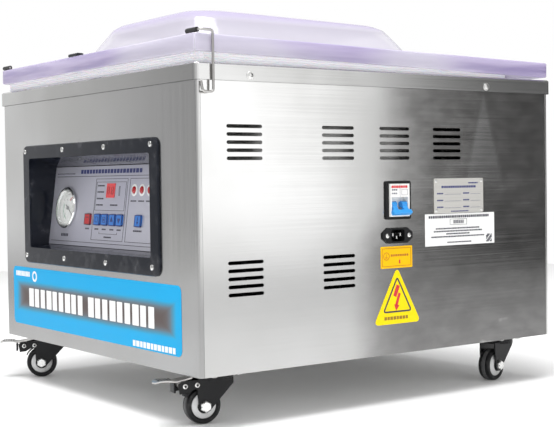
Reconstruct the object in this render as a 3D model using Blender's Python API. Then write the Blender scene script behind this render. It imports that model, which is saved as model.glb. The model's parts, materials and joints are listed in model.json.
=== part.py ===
"""A chamber vacuum sealer: a stainless cabinet on four casters, a sealing chamber and a clear domed lid.

Metres, +Z up, the floor at Z = 0, +Y to the rear, +X to the right of someone at the control panel.
"""

import math

import bmesh
import bpy
from mathutils import Vector

# Cabinet
BODY_W = 0.600
BODY_D = 0.650
CASTER_H = 0.070
CUT = 0.010
RIM_TOP = 0.470
SHEET = 0.0015
CORNER_R = 0.004
GAP = 0.0003
RIM_H = 0.022
RIM_OVERHANG = 0.0034
PANEL_RETURN = 0.006
WALL_TOP = RIM_TOP - SHEET - GAP

# Chamber
CHAMBER_W = 0.440
CHAMBER_D = 0.470
CHAMBER_Y = -0.039
CHAMBER_FLOOR = 0.350
CHAMBER_R = 0.025
BAR_L = 0.400
BAR_T = 0.014
BAR_TOP = 0.455
BAR_H = 0.030
FRONT_BAR_Y = -0.255
REAR_BAR_Y = 0.180
LEG_X = 0.150
LEG_R = 0.005
LIFTER_L = 0.380
LIFTER_TOP = 0.402

# Lid, drawn in a frame whose origin is on the hinge axis and whose X axis is that axis
HINGE_Y = 0.3415
HINGE_Z = RIM_TOP
HINGE_X = 0.190
KNUCKLE_R = 0.0055
PIN_R = 0.0025
LID_TILT = math.radians(0.877)
LID_W = 0.600
LID_SHIFT = 0.003
LID_FRONT = -0.329
LID_REAR = 0.324
LID_T = 0.0225
LID_LIFT = 0.0037
DOME_BASE = (0.390, 0.447)
DOME_TOP = (0.244, 0.346)
DOME_H = 0.061
DOME_WALL = 0.008
GASKET_W = 0.026
GASKET_REAR = 0.243

# Clips that hold the lid down
CLIP_X = 0.306
WIRE_R = 0.0019
CLIP_Y = -0.322
CLIP_Z = 0.5105
SLEEVE_R = 0.0034

# Control recess in the front
BEZEL = (-0.2194, 0.2060, 0.1934, 0.3795)
RECESS = (-0.1977, 0.1843, 0.2182, 0.3590)
RECESS_DEPTH = 0.093
CEILING_DROP = 0.302
FLOOR_RISE = 0.147
PANEL_FOOT = (-0.2965, 0.2226)
PANEL_TILT = math.radians(7.64)
PANEL_H = 0.1232
GAUGE_AT = (-0.1435, 0.0585)
GAUGE_R = 0.0325
NEEDLE_L = 0.0235
NEEDLE_REST = math.radians(-35)
KEY = (0.018, 0.017)
KEY_Z = 0.042
KEYS = {
    "stop_button": -0.0682,
    "select_button": -0.0376,
    "set_button": -0.0142,
    "up_button": 0.0098,
    "down_button": 0.0320,
    "cycle_button": 0.0874,
}

# Right side: power switch, inlet, rating plate and louvres
SWITCH_AT = (0.0090, 0.2888)
SWITCH_FACE = (0.036, 0.0464)
SWITCH_FRAME = (0.0467, 0.0546)
LEVER_Z = 0.2830
LEVER_REST = math.radians(-55)
INLET_AT = (0.0072, 0.2387)
PLATE_AT = (0.1297, 0.2930)
PLATE_SIZE = (0.1007, 0.0511)
SLOT_L = 0.056
SLOT_H = 0.0048
SLOT_PITCH = 0.01035
SLOT_ROWS = 5
UPPER_ROW = 0.390
LOWER_ROW = 0.2138
UPPER_VENTS = (-0.2525, -0.0975, 0.0050, 0.1070)
LOWER_VENTS = (-0.2530, -0.0980)

# Vacuum pump, on the axis of its motor
PUMP_Y = 0.060
PUMP_Z = 0.150

# Casters
SWIVEL_X = 0.246
SWIVEL_Y = 0.267
WHEEL_R = 0.0245
WHEEL_T = 0.019
TRAIL = 0.021
FORK_IN = 0.0122
FORK_OUT = 0.0144
BRAKE_PIN = (-0.0487, 0.0530)
GUARD_PIN = (-0.0320, 0.0535)
CASTERS = {
    "front_left": (-SWIVEL_X, -SWIVEL_Y, math.radians(-27)),
    "front_right": (SWIVEL_X, -SWIVEL_Y, math.radians(-12)),
    "rear_left": (-SWIVEL_X, SWIVEL_Y, math.radians(12)),
    "rear_right": (SWIVEL_X, SWIVEL_Y, math.radians(12)),
}


# Tools


def clear_scene():
    for item in list(bpy.data.objects):
        bpy.data.objects.remove(item, do_unlink=True)


def material(name, color, roughness, metallic=0.0, alpha=1.0):
    """A plain Principled BSDF material, made once for each name."""
    found = bpy.data.materials.get(name)
    if found:
        return found
    made = bpy.data.materials.new(name)
    made.use_nodes = True
    shader = made.node_tree.nodes["Principled BSDF"]
    shader.inputs["Base Color"].default_value = (*color, 1.0)
    shader.inputs["Roughness"].default_value = roughness
    shader.inputs["Metallic"].default_value = metallic
    shader.inputs["Alpha"].default_value = alpha
    made.diffuse_color = (*color, alpha)
    return made


def steel():
    return material("brushed_steel", (0.62, 0.62, 0.61), 0.32, 1.0)


def zinc():
    return material("zinc_plate", (0.70, 0.70, 0.68), 0.35, 1.0)


def black_plastic():
    return material("black_plastic", (0.02, 0.02, 0.022), 0.25)


def black_steel():
    return material("black_steel", (0.03, 0.03, 0.03), 0.4, 0.3)


def acrylic():
    return material("clear_acrylic", (0.80, 0.77, 0.92), 0.05, 0.0, 0.35)


def silicone():
    return material("silicone", (0.85, 0.85, 0.82), 0.5)


def rubber():
    return material("black_rubber", (0.02, 0.02, 0.02), 0.7)


def aluminium():
    return material("aluminium", (0.75, 0.75, 0.76), 0.35, 1.0)


def add(name, mesh, finish, parent=None, at=(0, 0, 0), turn=(0, 0, 0), smooth=None):
    """An object for a finished bmesh, with its material, place and parent."""
    bmesh.ops.recalc_face_normals(mesh, faces=mesh.faces)
    data = bpy.data.meshes.new(name)
    mesh.to_mesh(data)
    mesh.free()
    if smooth is not None:
        data.shade_smooth()
        data.set_sharp_from_angle(angle=math.radians(smooth))
    item = bpy.data.objects.new(name, data)
    if finish is not None:
        data.materials.append(finish)
    bpy.context.scene.collection.objects.link(item)
    item.location = at
    item.rotation_euler = turn
    item.parent = parent
    return item


def frame_at(name, at, turn=(0, 0, 0), parent=None):
    """An empty that carries the pieces of one moving or tilted group."""
    item = bpy.data.objects.new(name, None)
    bpy.context.scene.collection.objects.link(item)
    item.location = at
    item.rotation_euler = turn
    item.parent = parent
    return item


def boolean(item, other, operation):
    """Cuts item with other, or joins other to it, and leaves other as a hidden guide."""
    step = item.modifiers.new(operation.lower(), "BOOLEAN")
    step.operation = operation
    step.object = other
    other.hide_render = True
    other.display_type = "WIRE"


def loft(mesh, rings, closed=False):
    """Skins rings of equal point count. The ends are capped, or the last ring meets the first."""
    rows = [[mesh.verts.new(point) for point in ring] for ring in rings]
    pairs = list(zip(rows, rows[1:]))
    if closed:
        pairs.append((rows[-1], rows[0]))
    else:
        mesh.faces.new(rows[0])
        mesh.faces.new(rows[-1])
    for low, high in pairs:
        count = len(low)
        for i in range(count):
            j = (i + 1) % count
            mesh.faces.new((low[i], low[j], high[j], high[i]))
    return mesh


def block(low, high):
    """A box between two corners."""
    mesh = bmesh.new()
    bottom = [(low[0], low[1]), (high[0], low[1]), (high[0], high[1]), (low[0], high[1])]
    rings = [[(x, y, z) for x, y in bottom] for z in (low[2], high[2])]
    return loft(mesh, rings)


def rounded(width, depth, radius, steps=4, center=(0, 0)):
    """The outline of a rectangle with round corners, as points in a plane."""
    points = []
    corners = ((1, 1, 0), (-1, 1, 90), (-1, -1, 180), (1, -1, 270))
    for sx, sy, start in corners:
        cx = center[0] + sx * (width / 2 - radius)
        cy = center[1] + sy * (depth / 2 - radius)
        for k in range(steps + 1):
            angle = math.radians(start + 90 * k / steps)
            points.append((cx + radius * math.cos(angle), cy + radius * math.sin(angle)))
    return points


def flat(outline, z):
    return [(x, y, z) for x, y in outline]


def upright(outline, y):
    return [(x, y, z) for x, z in outline]


def sideways(outline, x):
    return [(x, y, z) for y, z in outline]


def circle(radius, segments, place, center=(0, 0), height=0.0):
    """One ring of a turned piece. place is flat, upright or sideways."""
    points = []
    for k in range(segments):
        angle = 2 * math.pi * k / segments
        points.append((center[0] + radius * math.cos(angle), center[1] + radius * math.sin(angle)))
    return place(points, height)


def turned(profile, place, segments=20, center=(0, 0), closed=False):
    """A turned solid from (radius, height) points. closed makes a ring with a hole through it."""
    rings = [circle(r, segments, place, center, h) for r, h in profile]
    return loft(bmesh.new(), rings, closed)


def prism(outline, place, low, high):
    return loft(bmesh.new(), [place(outline, low), place(outline, high)])


def joined(item, pieces):
    """Joins touching or crossing pieces to item with union modifiers."""
    for k, mesh in enumerate(pieces):
        guide = add(f"{item.name}_guide_{k}", mesh, None, item.parent, item.location, item.rotation_euler)
        boolean(item, guide, "UNION")
    return item


def drilled(item, cutters):
    """Takes each cutter's volume out of item."""
    for k, mesh in enumerate(cutters):
        guide = add(f"{item.name}_cutter_{k}", mesh, None, item.parent, item.location, item.rotation_euler)
        boolean(item, guide, "DIFFERENCE")
    return item


def bent_wire(name, points, radius, finish, parent=None, at=(0, 0, 0), sides=2):
    """A tube along a list of points, as a curve with filled ends."""
    data = bpy.data.curves.new(name, "CURVE")
    data.dimensions = "3D"
    data.bevel_depth = radius
    data.bevel_resolution = sides
    data.use_fill_caps = True
    line = data.splines.new("POLY")
    line.points.add(len(points) - 1)
    for spot, point in zip(line.points, points):
        spot.co = (*point, 1.0)
    data.materials.append(finish)
    item = bpy.data.objects.new(name, data)
    bpy.context.scene.collection.objects.link(item)
    item.location = at
    item.parent = parent
    return item


def filleted(corners, radius, steps=4):
    """A route through corner points whose turns are arcs of one radius."""
    spots = [Vector(c) for c in corners]
    route = [spots[0]]
    for before, here, after in zip(spots, spots[1:], spots[2:]):
        to_before = (before - here).normalized()
        to_after = (after - here).normalized()
        half = to_before.angle(to_after) / 2
        reach = radius / math.tan(half)
        middle = (to_before + to_after).normalized() * (radius / math.sin(half))
        center = here + middle
        start = here + to_before * reach - center
        end = here + to_after * reach - center
        for k in range(steps + 1):
            t = k / steps
            spoke = start.normalized().slerp(end.normalized(), t) * radius
            route.append(center + spoke)
    route.append(spots[-1])
    return [tuple(p) for p in route]


def smooth_route(points, steps):
    """Catmull-Rom points through a hand-chosen route."""
    spots = [Vector(p) for p in points]
    spots = [spots[0] * 2 - spots[1]] + spots + [spots[-1] * 2 - spots[-2]]
    route = []
    for a, b, c, d in zip(spots, spots[1:], spots[2:], spots[3:]):
        for k in range(steps):
            t = k / steps
            bend = (2 * a - 5 * b + 4 * c - d) * t**2 + (3 * b - a - 3 * c + d) * t**3
            route.append(0.5 * (2 * b + (c - a) * t + bend))
    route.append(spots[-2])
    return [tuple(p) for p in route]


# Cabinet


def base_plate():
    """The folded tray that closes the cabinet's underside and carries the casters and the pump."""
    inside_w = BODY_W - 2 * (SHEET + GAP)
    inside_d = BODY_D - 2 * (SHEET + GAP)
    flange = 0.014
    outer = rounded(inside_w, inside_d, CORNER_R, 2)
    inner = rounded(inside_w - 2 * SHEET, inside_d - 2 * SHEET, CORNER_R / 2, 2)
    rings = [
        flat(outer, CASTER_H),
        flat(outer, CASTER_H + flange),
        flat(inner, CASTER_H + flange),
        flat(inner, CASTER_H + 2 * SHEET),
    ]
    add("base_plate", loft(bmesh.new(), rings), steel())


def wrapped_panel(side):
    """The plan outline of the front (-1) or rear (1) panel, whose ends fold round the corners."""
    steps = 3
    half_w = BODY_W / 2
    half_d = BODY_D / 2
    outer = [(half_w, half_d - PANEL_RETURN)]
    inner = [(half_w - SHEET, half_d - PANEL_RETURN)]
    for k in range(steps + 1):
        angle = math.radians(90 * k / steps)
        cx = half_w - CORNER_R
        cy = half_d - CORNER_R
        outer.append((cx + CORNER_R * math.cos(angle), cy + CORNER_R * math.sin(angle)))
        reach = CORNER_R - SHEET
        inner.append((cx + reach * math.cos(angle), cy + reach * math.sin(angle)))
    outline = outer + [(-x, y) for x, y in reversed(outer)]
    outline += [(-x, y) for x, y in inner]
    outline += list(reversed(inner))
    return [(x, side * y) for x, y in outline]


def front_panel():
    """The front sheet, with the cut-out for the control recess."""
    item = add("front_panel", prism(wrapped_panel(-1), flat, CASTER_H, WALL_TOP), steel(), smooth=40)
    x0, x1, z0, z1 = RECESS
    room = 0.003
    cut = block((x0 - room, -BODY_D / 2 - CUT, z0 - room), (x1 + room, -BODY_D / 2 + CUT, z1 + room))
    drilled(item, [cut])


def slot_cutter(mesh, place, center, length, height, low, high):
    """One round-ended louvre slot, added to a shared cutter."""
    outline = rounded(length, height, height / 2 - 1e-5, 2, center)
    loft(mesh, [place(outline, low), place(outline, high)])


def side_panel(name, side, upper, lower):
    """A flat side sheet with its groups of five louvre slots."""
    outer = side * BODY_W / 2
    inner = side * (BODY_W / 2 - SHEET)
    reach = BODY_D / 2 - PANEL_RETURN - GAP
    low = (min(outer, inner), -reach, CASTER_H)
    high = (max(outer, inner), reach, WALL_TOP)
    item = add(name, block(low, high), steel())
    cutter = bmesh.new()
    for top, columns in ((UPPER_ROW, upper), (LOWER_ROW, lower)):
        for y in columns:
            for row in range(SLOT_ROWS):
                spot = (y, top - row * SLOT_PITCH)
                slot_cutter(cutter, sideways, spot, SLOT_L, SLOT_H, outer - CUT, outer + CUT)
    return item, cutter


def left_side_panel():
    item, cutter = side_panel("left_side_panel", -1, UPPER_VENTS, ())
    drilled(item, [cutter])


def right_side_panel():
    """The right sheet also has the cut-outs of the power switch and the inlet."""
    item, cutter = side_panel("right_side_panel", 1, UPPER_VENTS, LOWER_VENTS)
    y, z = SWITCH_AT
    w, h = SWITCH_FACE
    x = BODY_W / 2
    loose = 2 * GAP
    loft(cutter, [sideways(rounded(w + loose, h + loose, GAP, 1, (y, z)), x + s) for s in (-CUT, CUT)])
    y, z = INLET_AT
    loft(cutter, [sideways(rounded(0.0300, 0.0206, 0.002, 1, (y, z)), x + s) for s in (-CUT, CUT)])
    drilled(item, [cutter])


def rear_panel():
    """The rear sheet, with two groups of slots and the pump's exhaust hole."""
    item = add("rear_panel", prism(wrapped_panel(1), flat, CASTER_H, WALL_TOP), steel(), smooth=40)
    cutter = bmesh.new()
    y = BODY_D / 2
    for x in (-0.10, 0.10):
        for row in range(SLOT_ROWS):
            spot = (x, UPPER_ROW - 0.12 - row * SLOT_PITCH)
            slot_cutter(cutter, upright, spot, SLOT_L, SLOT_H, y - CUT, y + CUT)
    loft(cutter, [circle(0.014, 12, upright, (-0.20, 0.16), y + s) for s in (-CUT, CUT)])
    drilled(item, [cutter])


def rim_deck():
    """The pressed top: a flat deck round the chamber mouth and a band that laps over the walls."""
    outer_w = BODY_W + 2 * RIM_OVERHANG
    outer_d = BODY_D + 2 * RIM_OVERHANG
    edge = 0.002
    mouth = rounded(CHAMBER_W, CHAMBER_D, CHAMBER_R, 4, (0, CHAMBER_Y))
    top = rounded(outer_w - 2 * edge, outer_d - 2 * edge, CORNER_R, 4)
    outer = rounded(outer_w, outer_d, CORNER_R + edge, 4)
    inner = rounded(outer_w - 2 * SHEET, outer_d - 2 * SHEET, CORNER_R, 4)
    under = RIM_TOP - SHEET
    rings = [
        flat(mouth, RIM_TOP),
        flat(top, RIM_TOP),
        flat(outer, RIM_TOP - edge),
        flat(outer, RIM_TOP - RIM_H),
        flat(inner, RIM_TOP - RIM_H),
        flat(inner, under),
        flat(mouth, under),
    ]
    add("rim_deck", loft(bmesh.new(), rings, closed=True), steel())


def vacuum_chamber():
    """The deep-drawn tub under the deck. Its flange seals against the deck's underside."""
    wall = 0.002
    flange = 0.012
    top = RIM_TOP - SHEET - GAP
    center = (0, CHAMBER_Y)
    inner = rounded(CHAMBER_W, CHAMBER_D, CHAMBER_R, 4, center)
    outer = rounded(CHAMBER_W + 2 * wall, CHAMBER_D + 2 * wall, CHAMBER_R + wall, 4, center)
    lip = rounded(CHAMBER_W + 2 * flange, CHAMBER_D + 2 * flange, CHAMBER_R + flange, 4, center)
    rings = [
        flat(outer, CHAMBER_FLOOR - wall),
        flat(outer, top - wall),
        flat(lip, top - wall),
        flat(lip, top),
        flat(inner, top),
        flat(inner, CHAMBER_FLOOR),
    ]
    add("vacuum_chamber", loft(bmesh.new(), rings), steel())


def filler_board():
    """A white plastic board that fills the chamber floor between the two bars."""
    y0 = FRONT_BAR_Y + 0.022
    y1 = REAR_BAR_Y - 0.022
    width = CHAMBER_W - 0.020
    outline = rounded(width, y1 - y0, 0.010, 2, (0, (y0 + y1) / 2))
    thickness = 0.012
    low = CHAMBER_FLOOR + GAP
    white = material("white_board", (0.9, 0.9, 0.88), 0.4)
    item = add("filler_board", prism(outline, flat, low, low + thickness), white)
    holes = bmesh.new()
    for x in (-LEG_X, LEG_X):
        spot = (x, (y0 + y1) / 2)
        loft(holes, [circle(0.012, 12, flat, spot, z) for z in (low - CUT, low + thickness + CUT)])
    drilled(item, [holes])


def bar_lifter(name, y):
    """The fixed air-bladder channel below a bar, with the two bores that guide the bar's legs."""
    low = CHAMBER_FLOOR + GAP
    channel = block((-LIFTER_L / 2, y - 0.009, low), (LIFTER_L / 2, y + 0.009, LIFTER_TOP))
    item = add(name, channel, aluminium())
    bores = bmesh.new()
    for x in (-LEG_X, LEG_X):
        loft(bores, [circle(LEG_R + 0.0004, 12, flat, (x, y), z) for z in (low + 0.006, LIFTER_TOP + CUT)])
    drilled(item, [bores])


def seal_bar(name, y):
    """A heated sealing bar on two guide legs. It rises to press the bag against the lid's pad."""
    low = BAR_TOP - BAR_H
    edge = 0.0015
    outline = [
        (y - BAR_T / 2, low),
        (y + BAR_T / 2, low),
        (y + BAR_T / 2, BAR_TOP - edge),
        (y + BAR_T / 2 - edge, BAR_TOP),
        (y - BAR_T / 2 + edge, BAR_TOP),
        (y - BAR_T / 2, BAR_TOP - edge),
    ]
    item = add(name, prism(outline, sideways, -BAR_L / 2, BAR_L / 2), aluminium())
    legs = bmesh.new()
    for x in (-LEG_X, LEG_X):
        loft(legs, [circle(LEG_R, 12, flat, (x, y), z) for z in (low - 0.045, low + 0.002)])
    joined(item, [legs])


# Lid


def lid_outline(inset, radius, y_center, width, depth):
    return rounded(width - 2 * inset, depth - 2 * inset, radius, 6, (LID_SHIFT, y_center))


def lid(pivot):
    """A thick clear sheet with a formed dome. Everything is drawn from the hinge axis."""
    depth = LID_REAR - LID_FRONT
    middle = (LID_REAR + LID_FRONT) / 2 - HINGE_Y
    dome_y = CHAMBER_Y - HINGE_Y
    edge = 0.0015
    low = LID_LIFT
    top = LID_LIFT + LID_T
    slab = lid_outline(0, 0.006, middle, LID_W, depth)
    slab_in = lid_outline(edge, 0.0045, middle, LID_W, depth)
    profile = [(0.0, 0.0), (0.10, 0.05), (0.26, 0.24), (0.50, 0.60)]
    profile += [(0.72, 0.88), (0.88, 0.98), (1.0, 1.0)]
    outside = []
    inside = []
    for u, v in profile:
        width = DOME_BASE[0] + (DOME_TOP[0] - DOME_BASE[0]) * u
        long = DOME_BASE[1] + (DOME_TOP[1] - DOME_BASE[1]) * u
        outside.append(flat(lid_outline(0, 0.060 - 0.015 * u, dome_y, width, long), top + DOME_H * v))
        thin = lid_outline(DOME_WALL, 0.052 - 0.015 * u, dome_y, width, long)
        inside.append(flat(thin, top + (DOME_H - DOME_WALL) * v))
    mouth = flat(lid_outline(DOME_WALL, 0.052, dome_y, *DOME_BASE), low)
    rings = list(reversed(outside))
    rings += [flat(slab_in, top), flat(slab, top - edge), flat(slab, low + edge), flat(slab_in, low)]
    rings += [mouth] + inside
    add("lid", loft(bmesh.new(), rings), acrylic(), pivot, smooth=30)


def under_lid(y):
    """The height of the lid's underside above the rim at a point, in the upright frame."""
    along = HINGE_Y - y
    return HINGE_Z + along * math.tan(LID_TILT) + LID_LIFT / math.cos(LID_TILT)


def lid_gasket(upright_pivot):
    """The silicone seal on the lid. It fills the wedge between the lid and the deck."""
    inset = 0.0075
    depth = GASKET_REAR - (LID_FRONT + inset)
    center = (LID_SHIFT, GASKET_REAR - depth / 2)
    width = LID_W - 2 * inset
    outer = rounded(width, depth, 0.012, 3, center)
    inner = rounded(width - 2 * GASKET_W, depth - 2 * GASKET_W, 0.008, 3, center)
    rings = []
    for outline, upper in ((outer, False), (outer, True), (inner, True), (inner, False)):
        ring = []
        for x, y in outline:
            z = under_lid(y) - GAP if upper else RIM_TOP + GAP
            ring.append((x, y - HINGE_Y, z - HINGE_Z))
        rings.append(ring)
    add("lid_gasket", loft(bmesh.new(), rings, closed=True), silicone(), upright_pivot)


def counter_bar(name, y, pivot):
    """A silicone pressure pad in a channel on the lid's underside, above a sealing bar."""
    local_y = y - HINGE_Y
    top = LID_LIFT - GAP
    low = (-BAR_L / 2, local_y - 0.008, top - 0.008)
    high = (BAR_L / 2, local_y + 0.008, top)
    add(name, block(low, high), silicone(), pivot)


def hinge(name, x, pivot):
    """A strap hinge at the rear: a bracket with its pin on the rim, and an arm on the lid."""
    half = 0.028
    split = 0.011
    rim_face = BODY_D / 2 + RIM_OVERHANG
    thick = 0.003
    plate = block((x - half, rim_face + GAP, RIM_TOP - 0.021), (x + half, rim_face + thick, RIM_TOP - thick))
    bracket = add(f"hinge_bracket_{name}", plate, zinc(), smooth=40)
    parts = []
    for a, b in ((x - half, x - split - GAP), (x + split + GAP, x + half)):
        knuckle = turned([(KNUCKLE_R, a), (KNUCKLE_R, b)], sideways, 14, (HINGE_Y, HINGE_Z))
        web = block((a, rim_face + 0.001, HINGE_Z - 0.0055), (b, HINGE_Y, HINGE_Z - 0.003))
        parts += [knuckle, web]
    pin = [(PIN_R, x - half + 0.002), (PIN_R, x + half - 0.002)]
    parts.append(turned(pin, sideways, 12, (HINGE_Y, HINGE_Z)))
    joined(bracket, parts)

    rear = LID_REAR - HINGE_Y + GAP
    bore = PIN_R + 0.0004
    eye = [(bore, x - split), (KNUCKLE_R, x - split), (KNUCKLE_R, x + split), (bore, x + split)]
    arm = add(f"hinge_arm_{name}", turned(eye, sideways, 14, closed=True), zinc(), pivot, smooth=40)
    leaf = block((x - half, rear, LID_LIFT - 0.0005), (x + half, rear + thick, LID_LIFT + LID_T - 0.002))
    strap = block((x - split + GAP, rear + 0.001, 0.0032), (x + split - GAP, -0.0005, 0.0054))
    joined(arm, [leaf, strap])


def lift_tab(pivot):
    """A small black tab on the lid's front edge, to start lifting it."""
    x = -0.0385
    y = LID_FRONT - HINGE_Y + 0.007
    low = LID_LIFT + LID_T + GAP
    rings = [
        flat(rounded(0.034, 0.012, 0.003, 2, (x, y)), low),
        flat(rounded(0.034, 0.012, 0.003, 2, (x, y)), low + 0.003),
        flat(rounded(0.031, 0.009, 0.002, 2, (x, y)), low + 0.0045),
    ]
    add("lift_tab", loft(bmesh.new(), rings), black_plastic(), pivot)


def lid_clip(name, side, pivot):
    """A bent wire that hooks over the lid and under the rim. Its sleeve is the axis it swings on."""
    x = CLIP_X
    inner = x - 0.029
    tip_x = 0.3022
    drop = 0.4325 - CLIP_Z
    back = 0.019
    hook = 0.003
    corners = [(inner, 0, 0), (x, 0, 0), (x, back, 0), (x, back, drop), (x, hook, drop)]
    corners.append((tip_x, hook, drop + 0.0135))
    center = frame_at(f"{name}_clip_axis", (0, CLIP_Y - HINGE_Y, CLIP_Z - HINGE_Z), (0, 0, 0), pivot)
    route = [(side * px, py, pz) for px, py, pz in filleted(corners, 0.004)]
    bent_wire(f"{name}_clip_wire", route, WIRE_R, zinc(), center)
    bore = WIRE_R + GAP
    ends = (inner - 0.001, x - 0.006)
    ring = [(bore, ends[0]), (SLEEVE_R, ends[0]), (SLEEVE_R, ends[1]), (bore, ends[1])]
    sleeve = turned([(r, side * px) for r, px in ring], sideways, 12, closed=True)
    add(f"{name}_clip_sleeve", sleeve, rubber(), center, smooth=40)


# Control recess


def control_bezel():
    """The glossy black frame screwed over the recess."""
    x0, x1, z0, z1 = BEZEL
    a0, a1, c0, c1 = RECESS
    face = -BODY_D / 2 - GAP
    edge = 0.0012
    front = face - 0.003
    size = (x1 - x0, z1 - z0)
    center = ((x0 + x1) / 2, (z0 + z1) / 2)
    hole = (a1 - a0, c1 - c0)
    middle = ((a0 + a1) / 2, (c0 + c1) / 2)
    outer = rounded(*size, 0.012, 4, center)
    bevel = rounded(size[0] - 2 * edge, size[1] - 2 * edge, 0.011, 4, center)
    inner = rounded(*hole, 0.004, 4, middle)
    rings = [upright(outer, face), upright(outer, front + edge), upright(bevel, front)]
    rings += [upright(inner, front), upright(inner, face)]
    add("control_bezel", loft(bmesh.new(), rings, closed=True), black_plastic(), smooth=30)


def control_housing():
    """The black moulding behind the bezel. Its ceiling and floor draw together towards the rear."""
    x0, x1, z0, z1 = RECESS
    wall = 0.002
    front = -BODY_D / 2
    back = front + RECESS_DEPTH

    def section(y, grow):
        run = y - front
        low = z0 + run * FLOOR_RISE - grow
        high = z1 - run * CEILING_DROP + grow
        left = x0 - grow
        right = x1 + grow
        return [(left, y, low), (right, y, low), (right, y, high), (left, y, high)]

    rings = [section(back + wall, wall), section(front, wall), section(front, 0), section(back, 0)]
    add("control_housing", loft(bmesh.new(), rings), black_plastic())


def control_panel(tilted):
    """The printed aluminium panel that leans back inside the recess."""
    x0, x1 = RECESS[0], RECESS[1]
    low = (x0 + GAP, 0, GAP)
    high = (x1 - GAP, SHEET, PANEL_H)
    item = add("control_panel", block(low, high), aluminium(), tilted)
    holes = bmesh.new()
    loft(holes, [circle(0.0290, 24, upright, GAUGE_AT, y) for y in (-CUT, CUT)])
    for x in KEYS.values():
        opening = rounded(KEY[0] + 0.001, KEY[1] + 0.001, 0.0025, 2, (x, KEY_Z))
        loft(holes, [upright(opening, y) for y in (-CUT, CUT)])
    drilled(item, [holes])


def vacuum_gauge(tilted):
    """A dial gauge: a cup behind the panel with a rim in front, a glass, and a needle on its pin."""
    back = 0.026
    cup = [
        (0.0280, back),
        (0.0280, -0.0010),
        (GAUGE_R, -0.0010),
        (GAUGE_R, -0.0035),
        (GAUGE_R - 0.0015, -0.0050),
        (GAUGE_R - 0.0032, -0.0050),
        (GAUGE_R - 0.0032, -0.0018),
        (0.0265, -0.0018),
        (0.0265, 0.0030),
    ]
    white = material("gauge_case", (0.85, 0.85, 0.85), 0.3)
    add("gauge_case", turned(cup, upright, 28, GAUGE_AT), white, tilted, smooth=30)
    glass = [(GAUGE_R - 0.0036, -0.0024), (GAUGE_R - 0.0036, -0.0040)]
    clear = material("clear_glass", (0.9, 0.95, 0.95), 0.03, 0.0, 0.3)
    add("gauge_glass", turned(glass, upright, 28, GAUGE_AT), clear, tilted)


def gauge_needle(tilted):
    """The needle turns on the gauge's axis."""
    axis = frame_at("needle_axis", (GAUGE_AT[0], 0, GAUGE_AT[1]), (0, -NEEDLE_REST, 0), tilted)
    outline = [(-0.008, -0.0012), (-0.008, 0.0012), (NEEDLE_L, 0.0003), (NEEDLE_L, -0.0003)]
    item = add("gauge_needle", prism(outline, upright, 0.0006, 0.0012), black_plastic(), axis)
    joined(item, [turned([(0.0028, 0.0014), (0.0028, -0.0006)], upright, 12)])


def panel_key(name, x, tilted):
    """A push key: a cap that stands proud of the panel, and a flange behind it that stops it."""
    w, h = KEY
    spot = (x, KEY_Z)
    rings = [
        upright(rounded(w + 0.004, h + 0.004, 0.002, 2, spot), 0.0060),
        upright(rounded(w + 0.004, h + 0.004, 0.002, 2, spot), SHEET + GAP),
        upright(rounded(w, h, 0.002, 2, spot), SHEET + GAP),
        upright(rounded(w, h, 0.002, 2, spot), -0.0018),
        upright(rounded(w - 0.0012, h - 0.0012, 0.0016, 2, spot), -0.0024),
    ]
    color = (0.75, 0.05, 0.05) if name == "stop_button" else (0.10, 0.35, 0.85)
    finish = material("red_key" if name == "stop_button" else "blue_key", color, 0.35)
    add(name, loft(bmesh.new(), rings), finish, tilted)


# Right side fittings


def power_switch():
    """A two-pole breaker in a black frame, with one bar joining its two levers. It is off."""
    y, z = SWITCH_AT
    w, h = SWITCH_FACE
    face = BODY_W / 2
    rings = []
    for size, x in ((1, face + GAP), (1, face + 0.0030), (0, face + 0.0030), (0, face + GAP)):
        if size:
            rings.append(sideways(rounded(*SWITCH_FRAME, 0.003, 2, (y, z)), x))
        else:
            rings.append(sideways(rounded(w + 2 * GAP, h + 2 * GAP, GAP, 2, (y, z)), x))
    add("switch_frame", loft(bmesh.new(), rings, closed=True), black_plastic())

    white = material("white_plastic", (0.88, 0.88, 0.86), 0.4)
    body_h = 0.080
    deep = block((face - 0.060, y - w / 2, z - body_h / 2), (face - 0.010, y + w / 2, z + body_h / 2))
    body = add("switch_body", deep, white)
    nose = block((face - 0.012, y - w / 2, z - h / 2), (face + 0.0060, y + w / 2, z + h / 2))
    joined(body, [nose])
    low = (face - 0.0045, y - 0.0155, LEVER_Z - 0.0150)
    drilled(body, [block(low, (face + 0.010, y + 0.0155, LEVER_Z + 0.0100))])

    pivot = frame_at("switch_axis", (face + 0.0010, y, LEVER_Z))
    blue = material("blue_lever", (0.05, 0.25, 0.75), 0.35)
    half = 0.0145
    lever = add("switch_lever", turned([(0.0042, -half), (0.0042, half)], upright, 12), blue, pivot)
    along = (math.cos(LEVER_REST), math.sin(LEVER_REST))
    across = (-along[1], along[0])
    arm = []
    for a, c in ((0.0, -0.0026), (0.0160, -0.0022), (0.0160, 0.0022), (0.0, 0.0026)):
        arm.append((along[0] * a + across[0] * c, along[1] * a + across[1] * c))
    joined(lever, [prism(arm, upright, -half, half)])


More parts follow.
